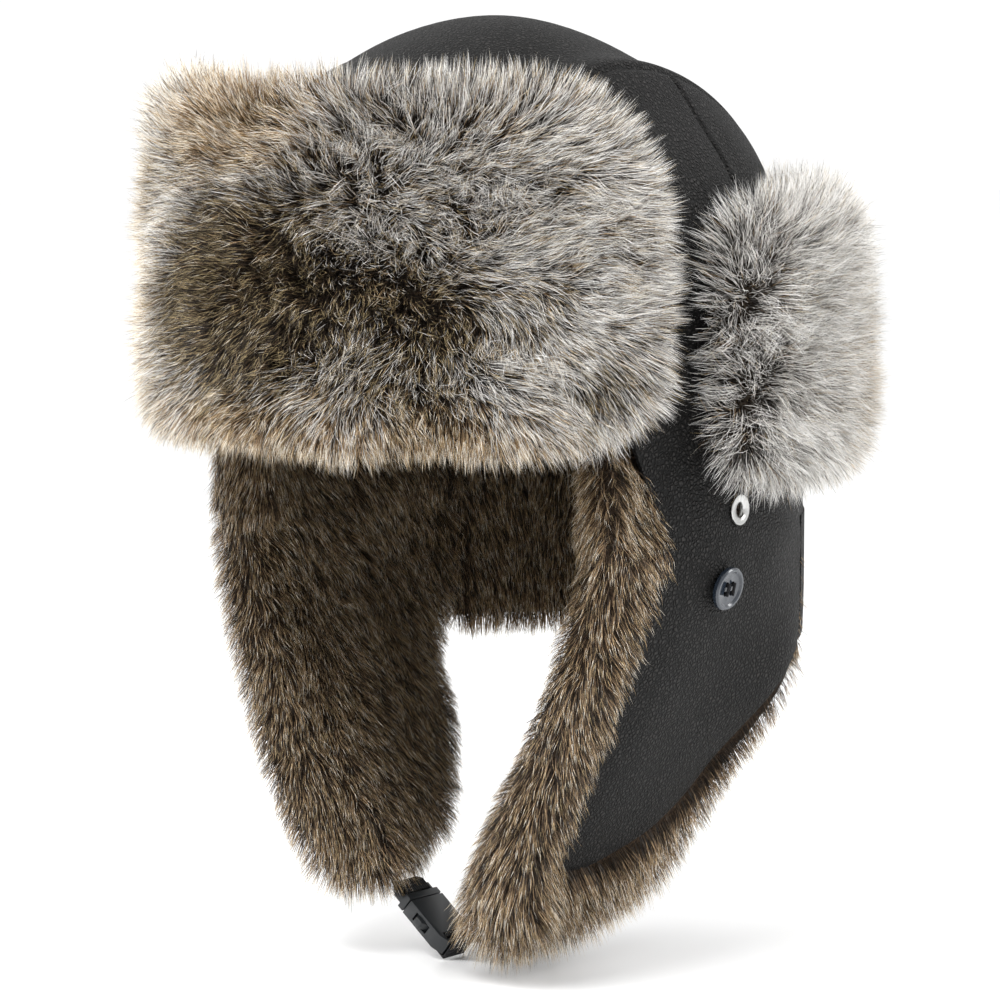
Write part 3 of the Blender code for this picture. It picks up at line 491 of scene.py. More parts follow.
def leather_material():
    """Small rounded pebbles, with painted shade: dark in the creases between them, lightest on their
    tops.
    """
    base = (0.012, 0.011, 0.010)
    made, shader, tree, coords = start_textured("leather_pebbled", base, 0.62, 0.20)
    warp = noise(tree, coords, 420.0, 2.0)
    mixed = tree.nodes.new("ShaderNodeMix")
    mixed.data_type = "VECTOR"
    mixed.inputs["Factor"].default_value = 0.0009
    tree.links.new(coords, mixed.inputs[4])
    tree.links.new(warp.outputs["Color"], mixed.inputs[5])
    cells = add_node(tree, "ShaderNodeTexVoronoi", Scale=640.0)
    cells.feature = "DISTANCE_TO_EDGE"
    tree.links.new(mixed.outputs[1], cells.inputs["Vector"])
    pebbles = tree.nodes.new("ShaderNodeMapRange")
    pebbles.interpolation_type = "SMOOTHSTEP"
    pebbles.inputs["From Max"].default_value = 0.34
    tree.links.new(cells.outputs["Distance"], pebbles.inputs["Value"])
    bump(tree, shader, pebbles.outputs["Result"], 1.0, 0.0012)
    # Painted shade: the leather's colour runs from dark in the creases to light on the pebbles'
    # tops.
    crease_shade, slope, top = (0.001, 0.001, 0.0009), (0.004, 0.0037, 0.0035), (0.021, 0.0195, 0.0185)
    stops = ((0.0, crease_shade), (0.35, slope), (1.0, top))
    colour = colour_ramp(tree, pebbles.outputs["Result"], stops)
    tree.links.new(colour, shader.inputs["Base Color"])
    return made


def fur_skin_material(name, dark, light):
    """The down under the hairs."""
    made, shader, tree, coords = start_textured(name, dark, 0.95, 0.1)
    down = noise(tree, coords, 900.0, 3.0)
    colour = colour_ramp(tree, down.outputs["Fac"], ((0.35, dark), (0.7, light)))
    tree.links.new(colour, shader.inputs["Base Color"])
    bump(tree, shader, down.outputs["Fac"], 1.0, 0.001)
    return made


def woven_material(name, colour, scale, roughness=0.85, depth=0.0002):
    """Cloth or webbing: two crossed sets of threads."""
    made, shader, tree, coords = start_textured(name, colour, roughness, 0.3)
    sets = []
    for axis in ("X", "Y"):
        threads = add_node(tree, "ShaderNodeTexWave", Scale=scale, Distortion=0.4)
        threads.bands_direction = axis
        tree.links.new(coords, threads.inputs["Vector"])
        sets.append(threads.outputs["Fac"])
    both = tree.nodes.new("ShaderNodeMath")
    both.operation = "ADD"
    for socket, source in zip(both.inputs, sets):
        tree.links.new(source, socket)
    bump(tree, shader, both.outputs["Value"], 0.8, depth)
    pale = tuple(2.4 * channel for channel in colour)
    threads_colour = colour_ramp(tree, sets[0], ((0.2, colour), (0.9, pale)))
    tree.links.new(threads_colour, shader.inputs["Base Color"])
    return made


def moulded_material(name, colour, roughness, specular, metallic=0.0, coat=0.0):
    """Moulded plastic or plated metal, with a faint grain."""
    made, shader, tree, coords = start_textured(name, colour, roughness, specular)
    shader.inputs["Metallic"].default_value = metallic
    shader.inputs["Coat Weight"].default_value = coat
    grain = noise(tree, coords, 2500.0, 1.0)
    bump(tree, shader, grain.outputs["Fac"], 0.5, 0.00002)
    return made


def hair_materials():
    return [new_material(f"hair_{tint}", colour, 0.5, 0.3)[0] for tint, colour in TINTS.items()]


def make_materials():
    """Colours are dark and light for down, and then roughness and gloss for the others."""
    silver_down = ((0.012, 0.009, 0.007), (0.080, 0.064, 0.048))
    brown_down = ((0.012, 0.008, 0.006), (0.060, 0.040, 0.025))
    felt = ((0.55, 0.54, 0.51), (0.78, 0.77, 0.73))
    button_blue = (0.014, 0.020, 0.030)
    return {
        "leather": leather_material(),
        "silver_skin": fur_skin_material("silver_fur_down", *silver_down),
        "brown_skin": fur_skin_material("brown_fur_down", *brown_down),
        "wadding": fur_skin_material("wadding_felt", *felt),
        "lining": woven_material("lining_satin", (0.012, 0.012, 0.014), 900.0, 0.45, 0.00005),
        "webbing": woven_material("webbing_ribbed", (0.009, 0.009, 0.010), 260.0, 0.8, 0.0005),
        "plastic": moulded_material("buckle_plastic", (0.016, 0.018, 0.020), 0.4, 0.5),
        "button": moulded_material("button_plastic", button_blue, 0.26, 0.55, coat=0.4),
        "thread": woven_material("sewing_thread", (0.006, 0.006, 0.007), 1500.0),
        "metal": moulded_material("nickel", (0.50, 0.50, 0.49), 0.26, 0.5, metallic=1.0),
        "hairs": hair_materials(),
    }


# ---------------------------------------------------------------- leather


def rim_z(azimuth):
    low, high = RIM_AZIMUTHS
    behind = np.clip((azimuth - low) / (high - low), 0, 1)
    return FRONT_RIM_Z + (FOLD_Z - FRONT_RIM_Z) * behind


def share_at(height):
    """The dome's radius share at heights in metres, and how far below its edge they lie."""
    share = np.where(height > 0, dome_share(np.maximum(height, 0) / CROWN_HEIGHT), 1.0)
    return share, np.minimum(height, 0)


def wrinkles(points, edge, seed):
    """Soft waves that fade towards a panel's edges."""
    fade = 1 - np.exp(-((edge / SWELL_REACH) ** 2))
    return WRINKLE * ripple(points, WRINKLE_LENGTH, seed)[..., 0] * fade


def wrinkled(azimuth, share, wall_z, edge):
    """The two faces of a crown panel, given how far each point is from the panel's edge."""
    nominal = crown_points(azimuth, share, wall_z, 0.0, True)
    depth = leather_depth(edge) - wrinkles(nominal, edge, WRINKLE_SEEDS["crown"])
    outer = crown_points(azimuth, share, wall_z, depth, True)
    return outer, crown_points(azimuth, share, wall_z, np.full_like(depth, LEATHER_BACK), True)


def side_panel(name, start, end, side):
    """A crown panel between two azimuths, from the centre strip's seam down to the rim."""
    columns = start + (end - start) * spaced(PANEL_STEPS)
    azimuth = np.radians(columns)[None, :]
    seam_share = np.minimum(1.0, SEAM_X / (HALF_WIDTH * np.sin(azimuth)))
    top = CROWN_HEIGHT * dome_height(seam_share)
    down = spaced(PANEL_STEPS)[:, None] ** 1.2
    height = top + (rim_z(columns)[None, :] - top) * down
    share, wall_z = share_at(height)
    azimuth = np.broadcast_to(azimuth, share.shape)
    nominal = crown_points(azimuth, share, wall_z, 0.0, True)
    runs = np.linalg.norm(np.diff(nominal, axis=0), axis=-1)
    from_top = np.concatenate([np.zeros((1, columns.size)), np.cumsum(runs, axis=0)])
    from_strip = np.abs(np.abs(nominal[..., 0]) - SEAM_X) * STRIP_SEAM_TIGHTNESS
    radius = np.hypot(nominal[..., 0], nominal[..., 1])
    turn = np.radians(np.abs(columns[None, :] - SIDE_SEAM_AZIMUTH))
    from_side_seam = turn * radius * SIDE_SEAM_TIGHTNESS
    from_side_seam = from_side_seam + np.clip(SIDE_SEAM_END - height, 0, None) * 3
    edge = np.minimum(np.minimum(from_top, from_strip + from_top * 0.02), from_side_seam)
    return shell(name, wrinkled(azimuth, share, wall_z, edge), looks["leather"], SIDES[side] < 0)


def centre_strip():
    """The crown's middle panel, from the fold behind, over the top, to the brow."""
    rows, columns, back_rows = 121, 49, 8
    across = np.broadcast_to(2 * spaced(columns - 1)[None, :] - 1, (rows, columns))
    along = np.linspace(1, STRIP_FRONT_SHARE, rows)[:, None]
    along = np.broadcast_to(along, (rows, columns))
    x_share = across * SEAM_X / HALF_WIDTH
    y_share = np.sqrt(1 - x_share**2) * np.sin(np.pi / 2 * (1 - (1 - np.abs(along)) ** 1.25))
    share = np.minimum(1.0, np.hypot(x_share, y_share))
    azimuth = np.arctan2(x_share, -np.copysign(y_share, along))
    rim_share = share_at(np.array([FRONT_RIM_Z]))[0]
    share = np.where(along < 0, np.minimum(share, rim_share), share)
    back = np.linspace(FOLD_Z, 0, back_rows + 1)[:-1, None]
    back = np.broadcast_to(back, (back_rows, columns))
    fields = []
    for field in (azimuth, share, across):
        fields.append(np.concatenate([np.broadcast_to(field[:1], back.shape), field]))
    azimuth, share, across = fields
    wall_z = np.concatenate([back, np.zeros(along.shape)])
    edge = (1 - np.abs(across)) * SEAM_X
    return shell("crown_strip_leather", wrinkled(azimuth, share, wall_z, edge), looks["leather"])


def neck_leather():
    heights = FOLD_Z + (NECK_BOTTOM_Z - FOLD_Z) * spaced(24)
    azimuth, z = np.meshgrid(np.linspace(*NECK_AZIMUTHS, 60), heights)
    bottom = z - NECK_BOTTOM_Z
    turn = np.minimum(azimuth - NECK_AZIMUTHS[0], NECK_AZIMUTHS[1] - azimuth)
    side = np.radians(turn) * 0.11  # the neck's radius there
    free_side = np.where(z < NECK_FREE_Z, side, 1.0)
    depth = leather_depth(np.minimum(bottom, free_side))
    layers = (wall_points(azimuth, z, -depth), wall_points(azimuth, z, -LEATHER_BACK))
    return shell("neck_leather_skin", layers, looks["leather"])


def flap_surface(depth, front_margin, rear_margin, bottom_z, rows, columns):
    """Rows across the left flap from the fold to the tip; the margins widen its outline."""
    down = rows[:, None]
    outline_z = FLAP_ROOT_Z + down * (FLAP_TIP_Z - FLAP_ROOT_Z)
    z = FOLD_Z + down * (bottom_z - FOLD_Z)
    front = through(FLAP_FRONT, outline_z) - front_margin
    free = np.clip((-0.074 - outline_z) / 0.020, 0, 1)
    rear = through(FLAP_REAR, outline_z) * (1 - depth / HALF_LENGTH) + rear_margin * free + 0.0005
    y = front + (rear - front) * columns[None, :]
    z = np.broadcast_to(z, y.shape)
    return np.stack([flap_x(y, z) - depth, y, z], axis=-1)


def flap_leather(side):
    rows, columns = spaced(64), spaced(48)
    nominal = flap_surface(0.0, 0.0, -FLAP_LEATHER_TRIM, FLAP_TIP_Z, rows, columns)
    heights = nominal[..., 2]
    width = nominal[:, -1:, 1] - nominal[:, :1, 1]
    from_front = columns[None, :] * width
    from_rear = (1 - columns[None, :]) * width + np.clip(heights - FLAP_FREE_Z, 0, 1)
    edge = np.minimum(np.minimum(from_front, from_rear), heights - FLAP_TIP_Z)
    depth = leather_depth(edge) - wrinkles(nominal, edge, WRINKLE_SEEDS["flap"])
    depth = np.clip(depth, -FLAP_MAX_SWELL, None) * np.clip(rows[:, None] * 12, 0, 1)
    outer = nominal - depth[..., None] * (1, 0, 0)
    inner = nominal - LEATHER_BACK * np.array((1, 0, 0))
    made = shell(f"flap_leather_skin_{side}", (outer, inner), looks["leather"], SIDES[side] < 0)
    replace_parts(made, f"flap_leather_{side}")
    bend(made)


def bend(obj):
    """Bakes the piece's placement into its mesh."""
    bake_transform(obj)


def brow_binding():
    """The leather turned under at the brow, over the edges of the wadding and the lining."""
    columns = np.linspace(-BROW_AZIMUTH, BROW_AZIMUTH, 60)
    azimuth, z = np.meshgrid(columns, FRONT_RIM_Z + np.array(BINDING_HEIGHTS))
    layers = [wall_points(azimuth, z, -depth) for depth in BINDING_DEPTHS]
    made = shell("brow_binding", layers, looks["leather"])
    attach(made, "crown")


def eyelet_hole(panel, side):
    """The hole in the leather that the eyelet's barrel goes through."""
    low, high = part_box(f"eyelet_{side}")
    mesh = bpy.data.meshes.new("eyelet_hole")
    form = bmesh.new()
    radii = {"radius1": EYELET_BARREL_RADIUS, "radius2": EYELET_BARREL_RADIUS}
    bmesh.ops.create_cone(form, cap_ends=True, segments=24, depth=0.02, **radii)
    bmesh.ops.rotate(form, verts=form.verts, matrix=Matrix.Rotation(math.pi / 2, 3, "Y"))
    form.to_mesh(mesh)
    form.free()
    cutter = place("eyelet_hole", mesh)
    cutter.location = (low + high) / 2
    cut(panel, cutter)


def make_leather():
    strip = centre_strip()
    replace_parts(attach(strip, "crown"), "crown_centre_strip")
    neck = neck_leather()
    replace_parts(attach(neck, "crown"), "neck_leather")
    foremost = STRIP_END_AZIMUTH + PANEL_GAP
    rearmost = 180 - STRIP_END_AZIMUTH - PANEL_GAP
    for side in SIDES:
        front = side_panel(f"crown_front_leather_{side}", foremost, SIDE_SEAM_AZIMUTH, side)
        eyelet_hole(front, side)
        rear = side_panel(f"crown_rear_leather_{side}", SIDE_SEAM_AZIMUTH, rearmost, side)
        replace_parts(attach(front, "crown"), f"crown_side_front_{side}")
        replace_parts(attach(rear, "crown"), f"crown_side_rear_{side}")
        flap_leather(side)
    brow_binding()


# ---------------------------------------------------------------- lining


def quilted_lining():
    """A satin lining, quilted in diamonds."""
    widest = dome_share(np.array([LINING_BOTTOM_Z / CROWN_HEIGHT]))[0]
    grid = (np.linspace(widest, 0.004, 60), np.linspace(0, 360, 145))
    shares, azimuths = np.meshgrid(*grid, indexing="ij")
    angle = np.radians(azimuths)
    ring = (widest - shares) * QUILT_RINGS
    turns = azimuths / 360 * QUILT_TURNS
    puff = np.abs(np.sin(np.pi * (turns + ring)) * np.sin(np.pi * (turns - ring))) ** 0.5
    fade = np.clip(shares / 0.25, 0, 1)
    zeros = np.zeros_like(shares)
    inner = crown_points(angle, shares, zeros, LINING_DEPTH + LINING_PUFF * puff * fade)
    outer = crown_points(angle, shares, zeros, zeros + LINING_DEPTH - LINING_THICKNESS)
    made = shell("crown_lining_quilted", (outer[::-1], inner[::-1]), looks["lining"])
    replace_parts(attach(made, "crown"), "crown_lining")


def sweatband():
    low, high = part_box("sweatband")
    columns = np.linspace(-BROW_AZIMUTH, BROW_AZIMUTH, 70)
    azimuth, z = np.meshgrid(columns, np.linspace(high.z, low.z, 8))
    layers = [wall_points(azimuth, z, -depth) for depth in SWEATBAND_DEPTHS]
    made = shell("sweatband_cloth", layers, looks["lining"])
    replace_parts(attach(made, "crown"), "sweatband")


# ---------------------------------------------------------------- fur


def skin_points(obj, count, rng, keep):
    """Random points and smooth normals on the faces of a skin that `keep` accepts."""
    mesh = obj.data
    mesh.calc_loop_triangles()
    corners = np.empty(len(mesh.loop_triangles) * 3, np.int32)
    mesh.loop_triangles.foreach_get("vertices", corners)
    corners = corners.reshape(-1, 3)
    points = np.empty(len(mesh.vertices) * 3)
    mesh.vertices.foreach_get("co", points)
    points = points.reshape(-1, 3)
    a, b, c = (points[corners[:, i]] for i in range(3))
    crossed = np.cross(b - a, c - a)
    area = np.linalg.norm(crossed, axis=1)
    facing = crossed / np.maximum(area, 1e-15)[:, None]
    normals = np.zeros_like(points)
    for i in range(3):
        np.add.at(normals, corners[:, i], crossed)
    normals = unit(normals)
    weight = area * keep((a + b + c) / 3, facing)
    chosen = rng.choice(len(corners), count, p=weight / weight.sum())
    shares = rng.dirichlet((1, 1, 1), count)
    picked = corners[chosen]
    where = sum(points[picked[:, i]] * shares[:, i : i + 1] for i in range(3))
    turned = unit(sum(normals[picked[:, i]] * shares[:, i : i + 1] for i in range(3)))
    return where, turned


def clumps(roots, rng, per_clump):
    """For each hair, the index of the hair that leads its lock."""
    leaders = rng.choice(len(roots), max(1, len(roots) // per_clump), replace=False)
    tree = KDTree(len(leaders))
    for index in leaders:
        tree.insert(roots[index], int(index))
    tree.balance()
    return np.array([tree.find(root)[1] for root in roots])


def hair_mesh(name, roots, normals, style, kinds, wide, rng):
    """Hairs that leave along a style's start and end along its end, drawn together in locks."""
    count = len(roots)
    start, end = unit(style["start"]), unit(style["end"])
    length, width = style["length"][:, None], style["width"][:, None] * wide
    leader = clumps(roots, rng, style["lock"]["size"])
    pull = style["lock"]["pull"] * rng.uniform(0.5, 1.0, (count, 1))
    to_leader = roots[leader] - roots
    stations = []
    for t in HAIR_SPANS:
        curve = roots + length * (t * start + t * t / 2 * (end - start))
        gathered = curve[leader] + to_leader * (t - 1)
        stations.append(curve + (gathered - curve) * pull * t)
    along = unit(stations[-1] - stations[0])
    flat = unit(np.cross(along, normals) + 1e-6)
    twist = rng.uniform(-1.0, 1.0, (count, 1))
    across = flat * np.cos(twist) + np.cross(along, flat) * np.sin(twist)
    points = []
    for station, taper in zip(stations, HAIR_TAPER):
        half = across * width * taper / 2
        points += [station - half, station + half]
    points.append(stations[-1])
    one_hair = sum(HAIR_CORNERS, ())
    face_starts = np.cumsum([0] + [len(face) for face in HAIR_CORNERS[:-1]])
    hairs = np.arange(count)[:, None]
    corners = (hairs * len(points) + np.array(one_hair)).ravel()
    starts = (hairs * len(one_hair) + face_starts).ravel()
    mesh = bpy.data.meshes.new(name)
    mesh.vertices.add(count * len(points))
    mesh.vertices.foreach_set("co", np.stack(points, axis=1).ravel().astype(np.float32))
    mesh.loops.add(corners.size)
    mesh.loops.foreach_set("vertex_index", corners.astype(np.int32))
    mesh.polygons.add(starts.size)
    mesh.polygons.foreach_set("loop_start", starts.astype(np.int32))
    for surface in looks["hairs"]:
        mesh.materials.append(surface)
    mesh.polygons.foreach_set("material_index", kinds.ravel().astype(np.int32))
    mesh.update(calc_edges=True)
    mesh.shade_smooth()
    return place(name, mesh)


def choose_kinds(weights, rng):
    """Tint numbers (root, middle, tip) for each hair, from a dict of weights by kind."""
    columns = np.broadcast_arrays(*weights.values())
    table = np.clip(np.stack(columns), 0, None)
    share = np.cumsum(table, axis=0) / table.sum(axis=0)
    picked = (rng.uniform(size=share.shape[1]) > share).sum(axis=0).clip(0, len(table) - 1)
    tints = list(TINTS)
    numbers = np.array([[tints.index(tint) for tint in HAIR_KINDS[kind]] for kind in weights])
    return numbers[picked]


def grow(prefix, skin, keep, style, total, seed, finish):
    """Covers a skin with hairs, in pieces. `style` gives each hair's directions, length, width,
    weights of kinds and lock from its root and normal; `finish` is given each made piece."""
    share, wide = ((1.0, 1.0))
    pieces = math.ceil(total / HAIRS_PER_PIECE)
    for number in range(pieces):
        rng = np.random.default_rng(seed + number)
        count = int(total / pieces * share)
        roots, normals = skin_points(skin, count, rng, keep)
        chosen = style(roots, normals, rng)
        kinds = choose_kinds(chosen["weights"], rng)
        name = f"{prefix}_{number + 1}"
        roots = roots - normals * ROOT_DEPTH
        finish(hair_mesh(name, roots, normals, chosen, kinds, wide, rng))


def around(points):
    """Azimuth in degrees, and the unit vector towards growing azimuth."""
    azimuth = np.degrees(np.arctan2(points[:, 0] / HALF_WIDTH, -points[:, 1] / HALF_LENGTH))
    angle = np.radians(azimuth)
    tangent = (HALF_WIDTH * np.cos(angle), HALF_LENGTH * np.sin(angle), 0 * angle)
    return azimuth, unit(np.stack(tangent, axis=1))


def patches(azimuth, z, spots):
    """The sum of soft patches, each (strength, azimuth, height, reach round, reach up)."""
    total = np.zeros_like(azimuth)
    for strength, middle, height, reach_round, reach_up in spots:
        away = ((azimuth - middle) / reach_round) ** 2 + ((z - height) / reach_up) ** 2
        total += strength * np.exp(-away)
    return total


def across_range(at, limits):
    """From -1 at the first limit to 1 at the second."""
    low, high = limits
    return (at - (low + high) / 2) / ((high - low) / 2)


def visor_style(roots, normals, rng):
    """Silver, with a dark middle and tan at the edges, combed outwards from the middle."""
    azimuth, sideways = around(roots)
    count = len(roots)
    z = roots[:, 2]
    u, v = across_range(azimuth, VISOR["azimuths"]), across_range(z, VISOR["z"])
    swirl = ripple(roots, 0.034, 11)
    lean = ripple(roots, 0.010, 12)
    comb = sideways * (u - 0.15 + 0.40 * swirl[:, 0] + 0.26 * lean[:, 0])[:, None]
    comb[:, 2] += 0.9 * v + 0.36 * swirl[:, 1] + 0.26 * lean[:, 1] - 0.22
    stray = rng.normal(size=(count, 3))
    mottle = 0.16 * swirl[:, 2] + 0.10 * lean[:, 2]
    dark = np.clip(patches(azimuth, z, VISOR_DARK) + mottle, 0, 1)
    tan = np.clip(patches(azimuth, z, VISOR_TAN) + 0.12 * lean[:, 2], 0, 1.2)
    # More silver towards the wearer's left. More silver and white towards the bottom: painted light
    # that makes up for the shade on the visor's lower part.
    silver = np.clip(1 - dark - 0.7 * tan, 0, 1) * np.clip(1.0 + 0.3 * u - 0.2 * v, 0.3, 1.6)
    full = VISOR_HAIR - VISOR_DARK_LOSS * np.clip(dark + 0.3 * tan, 0, 1)
    return {
        "start": normals + 0.22 * comb + 0.15 * stray,
        "end": 0.62 * normals + 0.85 * comb + 0.20 * stray,
        "length": full * rng.uniform(0.66, 1.18, count),
        "width": rng.uniform(*HAIR_WIDTHS, count),
        "weights": {
            "dark": 0.34 + 1.5 * dark,
            "black_tip": 0.12 + 0.3 * dark,
            "agouti": 0.26 + 0.75 * dark,
            "tan": 0.04 + 1.2 * tan,
            "sandy": 0.16 + 1.8 * tan,
            "grey": 0.15 * silver,
            "silver": 0.75 * silver,
            "white": 0.60 * silver,
        },
        "lock": CUFF_LOCKS,
    }


def rear_cuff_style(roots, normals, rng):
    """White and silver, with a few darker patches and tan towards the back."""
    azimuth, sideways = around(roots)
    azimuth = azimuth % 360
    count = len(roots)
    z = roots[:, 2]
    u, v = across_range(azimuth, REAR_CUFF["azimuths"]), across_range(z, REAR_CUFF["z"])
    swirl = ripple(roots, 0.028, 21)
    lean = ripple(roots, 0.007, 22)
    near_end = smooth_step(0.70, 1.0, np.abs(u)) * 0.45
    comb = sideways * (np.sign(u) * near_end + 0.5 * swirl[:, 0] + 0.4 * lean[:, 0])[:, None]
    comb[:, 2] += 0.8 * v + 0.45 * swirl[:, 1] + 0.4 * lean[:, 1]
    stray = rng.normal(size=(count, 3))
    dark = np.clip(patches(azimuth, z, REAR_CUFF_DARK) + 0.15 * swirl[:, 2], 0, 1)
    tan = np.clip(patches(azimuth, z, REAR_CUFF_TAN) + 0.15 * lean[:, 2], 0, 1)
    silver = np.clip(1 - dark - 0.5 * tan, 0.05, 1)
    return {
        "start": normals + 0.20 * comb + 0.17 * stray,
        "end": 0.66 * normals + 0.80 * comb + 0.32 * stray,
        "length": REAR_CUFF_HAIR * rng.uniform(0.70, 1.2, count),
        "width": rng.uniform(*HAIR_WIDTHS, count),
        "weights": {
            "dark": 0.16 + 0.5 * dark,
            "black_tip": 0.06 + 0.2 * dark,
            "agouti": 0.08 + 0.3 * dark,
            "tan": 0.01 + 0.4 * tan,
            "sandy": 0.08 + 0.7 * tan,
            "grey": 0.20 * silver,
            "silver": 0.70 * silver,
            "white": 1.60 * silver,
        },
        "lock": CUFF_LOCKS,
    }


def combed_style(seed, length, paleness):
    """Short brown fur that is combed downwards, its length and paleness given by functions."""

    def style(roots, normals, rng):
        count = len(roots)
        swirl = ripple(roots, 0.040, seed)
        lean = ripple(roots, 0.010, seed + 1)
        comb = 0.16 * swirl + 0.14 * lean
        comb[:, 2] -= 1.0
        stray = rng.normal(size=(count, 3))
        dark = np.clip(0.5 + 0.45 * swirl[:, 2] + 0.2 * lean[:, 2], 0, 1)
        pale = paleness(roots)
        return {
            "start": normals + 0.50 * comb + 0.13 * stray,
            "end": 0.42 * normals + comb + 0.16 * stray,
            "length": length(roots) * rng.uniform(0.72, 1.15, count),
            "width": rng.uniform(*SHORT_HAIR_WIDTHS, count),
            "weights": {
                "dark": 0.46 + 0.5 * dark,
                "black_tip": 0.30 + 0.3 * dark,
                "agouti": 0.40 + 0.2 * pale,
                "tan": 0.66 + 0.6 * pale,
                "sandy": 0.24 + 0.9 * pale,
            },
            "lock": SHORT_LOCKS,
        }

    return style


def pad_layers(cuff, offsets, inset, rounding, shift):
    """Grids of a cuff's skin, from its outer face to its back, with rounded ends and edges."""
    near, far = offsets
    first, last = cuff["azimuths"]
    low, high = cuff["z"]
    corner_length, lost_top, lost_bottom = cuff["corners"]
    widest = low + CUFF_WIDEST * (high - low)
    layers = []
    for share, draw in rounding:
        drawn = inset + draw
        turn = math.degrees(drawn / HALF_LENGTH)
        across = spaced(100)
        top, bottom = high - drawn + shift[0], low + drawn + shift[1]
        z = top - spaced(30) * (top - bottom)
        azimuth, height = np.meshgrid(first + turn + across * (last - first - 2 * turn), z)
        into_corner = np.clip((np.abs(2 * across - 1) - 1 + corner_length) / corner_length, 0, 1)
        lost = np.where(height > widest, lost_top, lost_bottom)
        height = widest + (height - widest) * (1 - lost * (1 - np.sqrt(1 - into_corner**2)))
        scale = 1 - cuff["lean"] * (height - low) / (high - low)
        layers.append(wall_points(azimuth, height, near + share * (far - near), scale))
    return layers


def make_cuff(prefix, cuff, body, style, seed):
    """A cuff of fur over a leather backing."""
    layers = pad_layers(cuff, CUFF_SKIN, CUFF_INSET, CUFF_ROUNDING, cuff["shift"])
    skin = shell(f"{prefix}_fur_skin", layers, looks["silver_skin"], sharp=180)
    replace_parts(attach(skin, body), f"{prefix}_fur", cuff["core"])
    backing = pad_layers(cuff, BACKING, BACKING_INSET, BACKING_EDGE, NO_SHIFT)
    leather = shell(f"{prefix}_backing_leather", backing, looks["leather"])
    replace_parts(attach(leather, body), f"{prefix}_backing")

    def outside(points, facing):
        outward = unit(points * (1, 1, 0))
        return (facing * outward).sum(axis=1) > -0.45

    def finish(piece):
        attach(piece, body)

    grow(f"{prefix}_fur", skin, outside, style, CUFF_HAIRS, seed, finish)


def edge_roll(distance, reach):
    """How far a fur skin's front edge rolls outwards."""
    return FLAP_EDGE_ROLL * np.exp(-((distance / reach) ** 2))


def flap_outline(edge, z):
    """The y of the flap's front or rear edge, held past the outline's ends."""
    return through(edge, np.clip(z, FLAP_TIP_Z, FLAP_ROOT_Z))


def flap_fur_skin(side):
    rows, columns = spaced(40), spaced(36)
    down = rows[:, None]
    near, far = FLAP_SKIN_DEPTHS
    roll = edge_roll(FLAP_SKIN_WIDTH * columns[None, :], FLAP_ROLL_REACH)
    thinning = FLAP_REAR_THINNING[side] * columns[None, :] ** 3
    swell = FLAP_TIP_SWELL[side] * down
    front = FLAP_SKIN_FRONT[side] + FLAP_ROOT_FLARE * np.exp(-down / FLAP_FLARE_REACH)
    front = front - FLAP_TIP_DRAW[side] * smooth_step(0.75, 1.0, down)
    layers = []
    for share, draw in FLAP_ROUNDING:
        depth = near + share * (far - near + swell - thinning) - roll
        rear = FLAP_SKIN_REAR[side] - draw
        bottom_z = FLAP_SKIN_BOTTOM_Z[side] + draw
        layers.append(flap_surface(depth, front - draw, rear, bottom_z, rows, columns))
    surface = looks["brown_skin"]
    skin = shell(f"flap_fur_skin_{side}", layers, surface, SIDES[side] < 0, sharp=180)
    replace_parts(skin, f"flap_fur_lining_{side}", f"flap_wadding_{side}")
    bend(skin)
    return skin


def make_flap_fur(side, seed):
    """Fur all over a flap's skin, longer and paler at the tip."""
    skin = flap_fur_skin(side)

    def free(points, facing):
        """All but the face behind the leather and the face against the fold."""
        outward = facing[:, 0] * SIDES[side] > 0.55
        y, z = points[:, 1], points[:, 2]
        behind_front = y > flap_outline(FLAP_FRONT, z) + HAIR_MARGIN
        before_rear = y < flap_outline(FLAP_REAR, z) - HAIR_MARGIN
        covered = behind_front & before_rear & (z > FLAP_TIP_Z + HAIR_MARGIN)
        return ~(outward & covered) & (z < FOLD_Z - 0.0003)

    def length(roots):
        return SHORT_HAIR + FLAP_TIP_GAIN * np.clip((-0.13 - roots[:, 2]) / 0.02, 0, 1)

    def pale(roots):
        z = roots[:, 2]
        tip = smooth_step(-0.135, -0.155, z)
        # Paler towards the top of the flap: painted light, for the light that falls on the flap's
        # upper part.
        high = smooth_step(-0.110, -0.050, z)
        fringe = smooth_step(-0.002, 0.006, roots[:, 1] - flap_outline(FLAP_REAR, z))
        return 0.30 + 0.8 * tip + 0.45 * high + 0.8 * fringe

    style = combed_style(31, length, pale)
    grow(f"flap_fur_{side}", skin, free, style, FLAP_HAIRS, seed, lambda piece: bend(piece))


def band_skin(name, kind, mirrored):
    """The skin of the fur inside the hat. Over an ear it meets the flap's skin, and its front
    edge rolls outwards as the flap's does."""
    first, last = BAND_AZIMUTHS[kind]
    low, high = BAND_HEIGHTS[kind]
    near, far = BAND_DEPTHS[kind]
    behind_leather, over_fold = FLAP_SKIN_DEPTHS
    layers = []
    for share, draw in BAND_ROUNDING:
        turn = math.degrees(draw / HALF_LENGTH)
        columns = first + turn + spaced(60) * (last - first - 2 * turn)
        heights = high - draw - spaced(24) * (high - low - 2 * draw)
        azimuth, z = np.meshgrid(columns, heights)
        back = np.interp(z, (0.0, 0.008), (behind_leather, near))
        reach = far
        if kind == "side":
            exposed = 1 - smooth_step(*BAND_EXPOSED_Z, z)
            back = back - edge_roll(azimuth - first, BAND_ROLL_REACH) * exposed
            reach = np.interp(z, (FOLD_Z, BAND_EXPOSED_Z[0]), (over_fold, far))
        layers.append(wall_points(azimuth, z, -back - share * (reach - back)))
    return shell(f"{name}_skin", layers, looks["brown_skin"], mirrored, sharp=180)


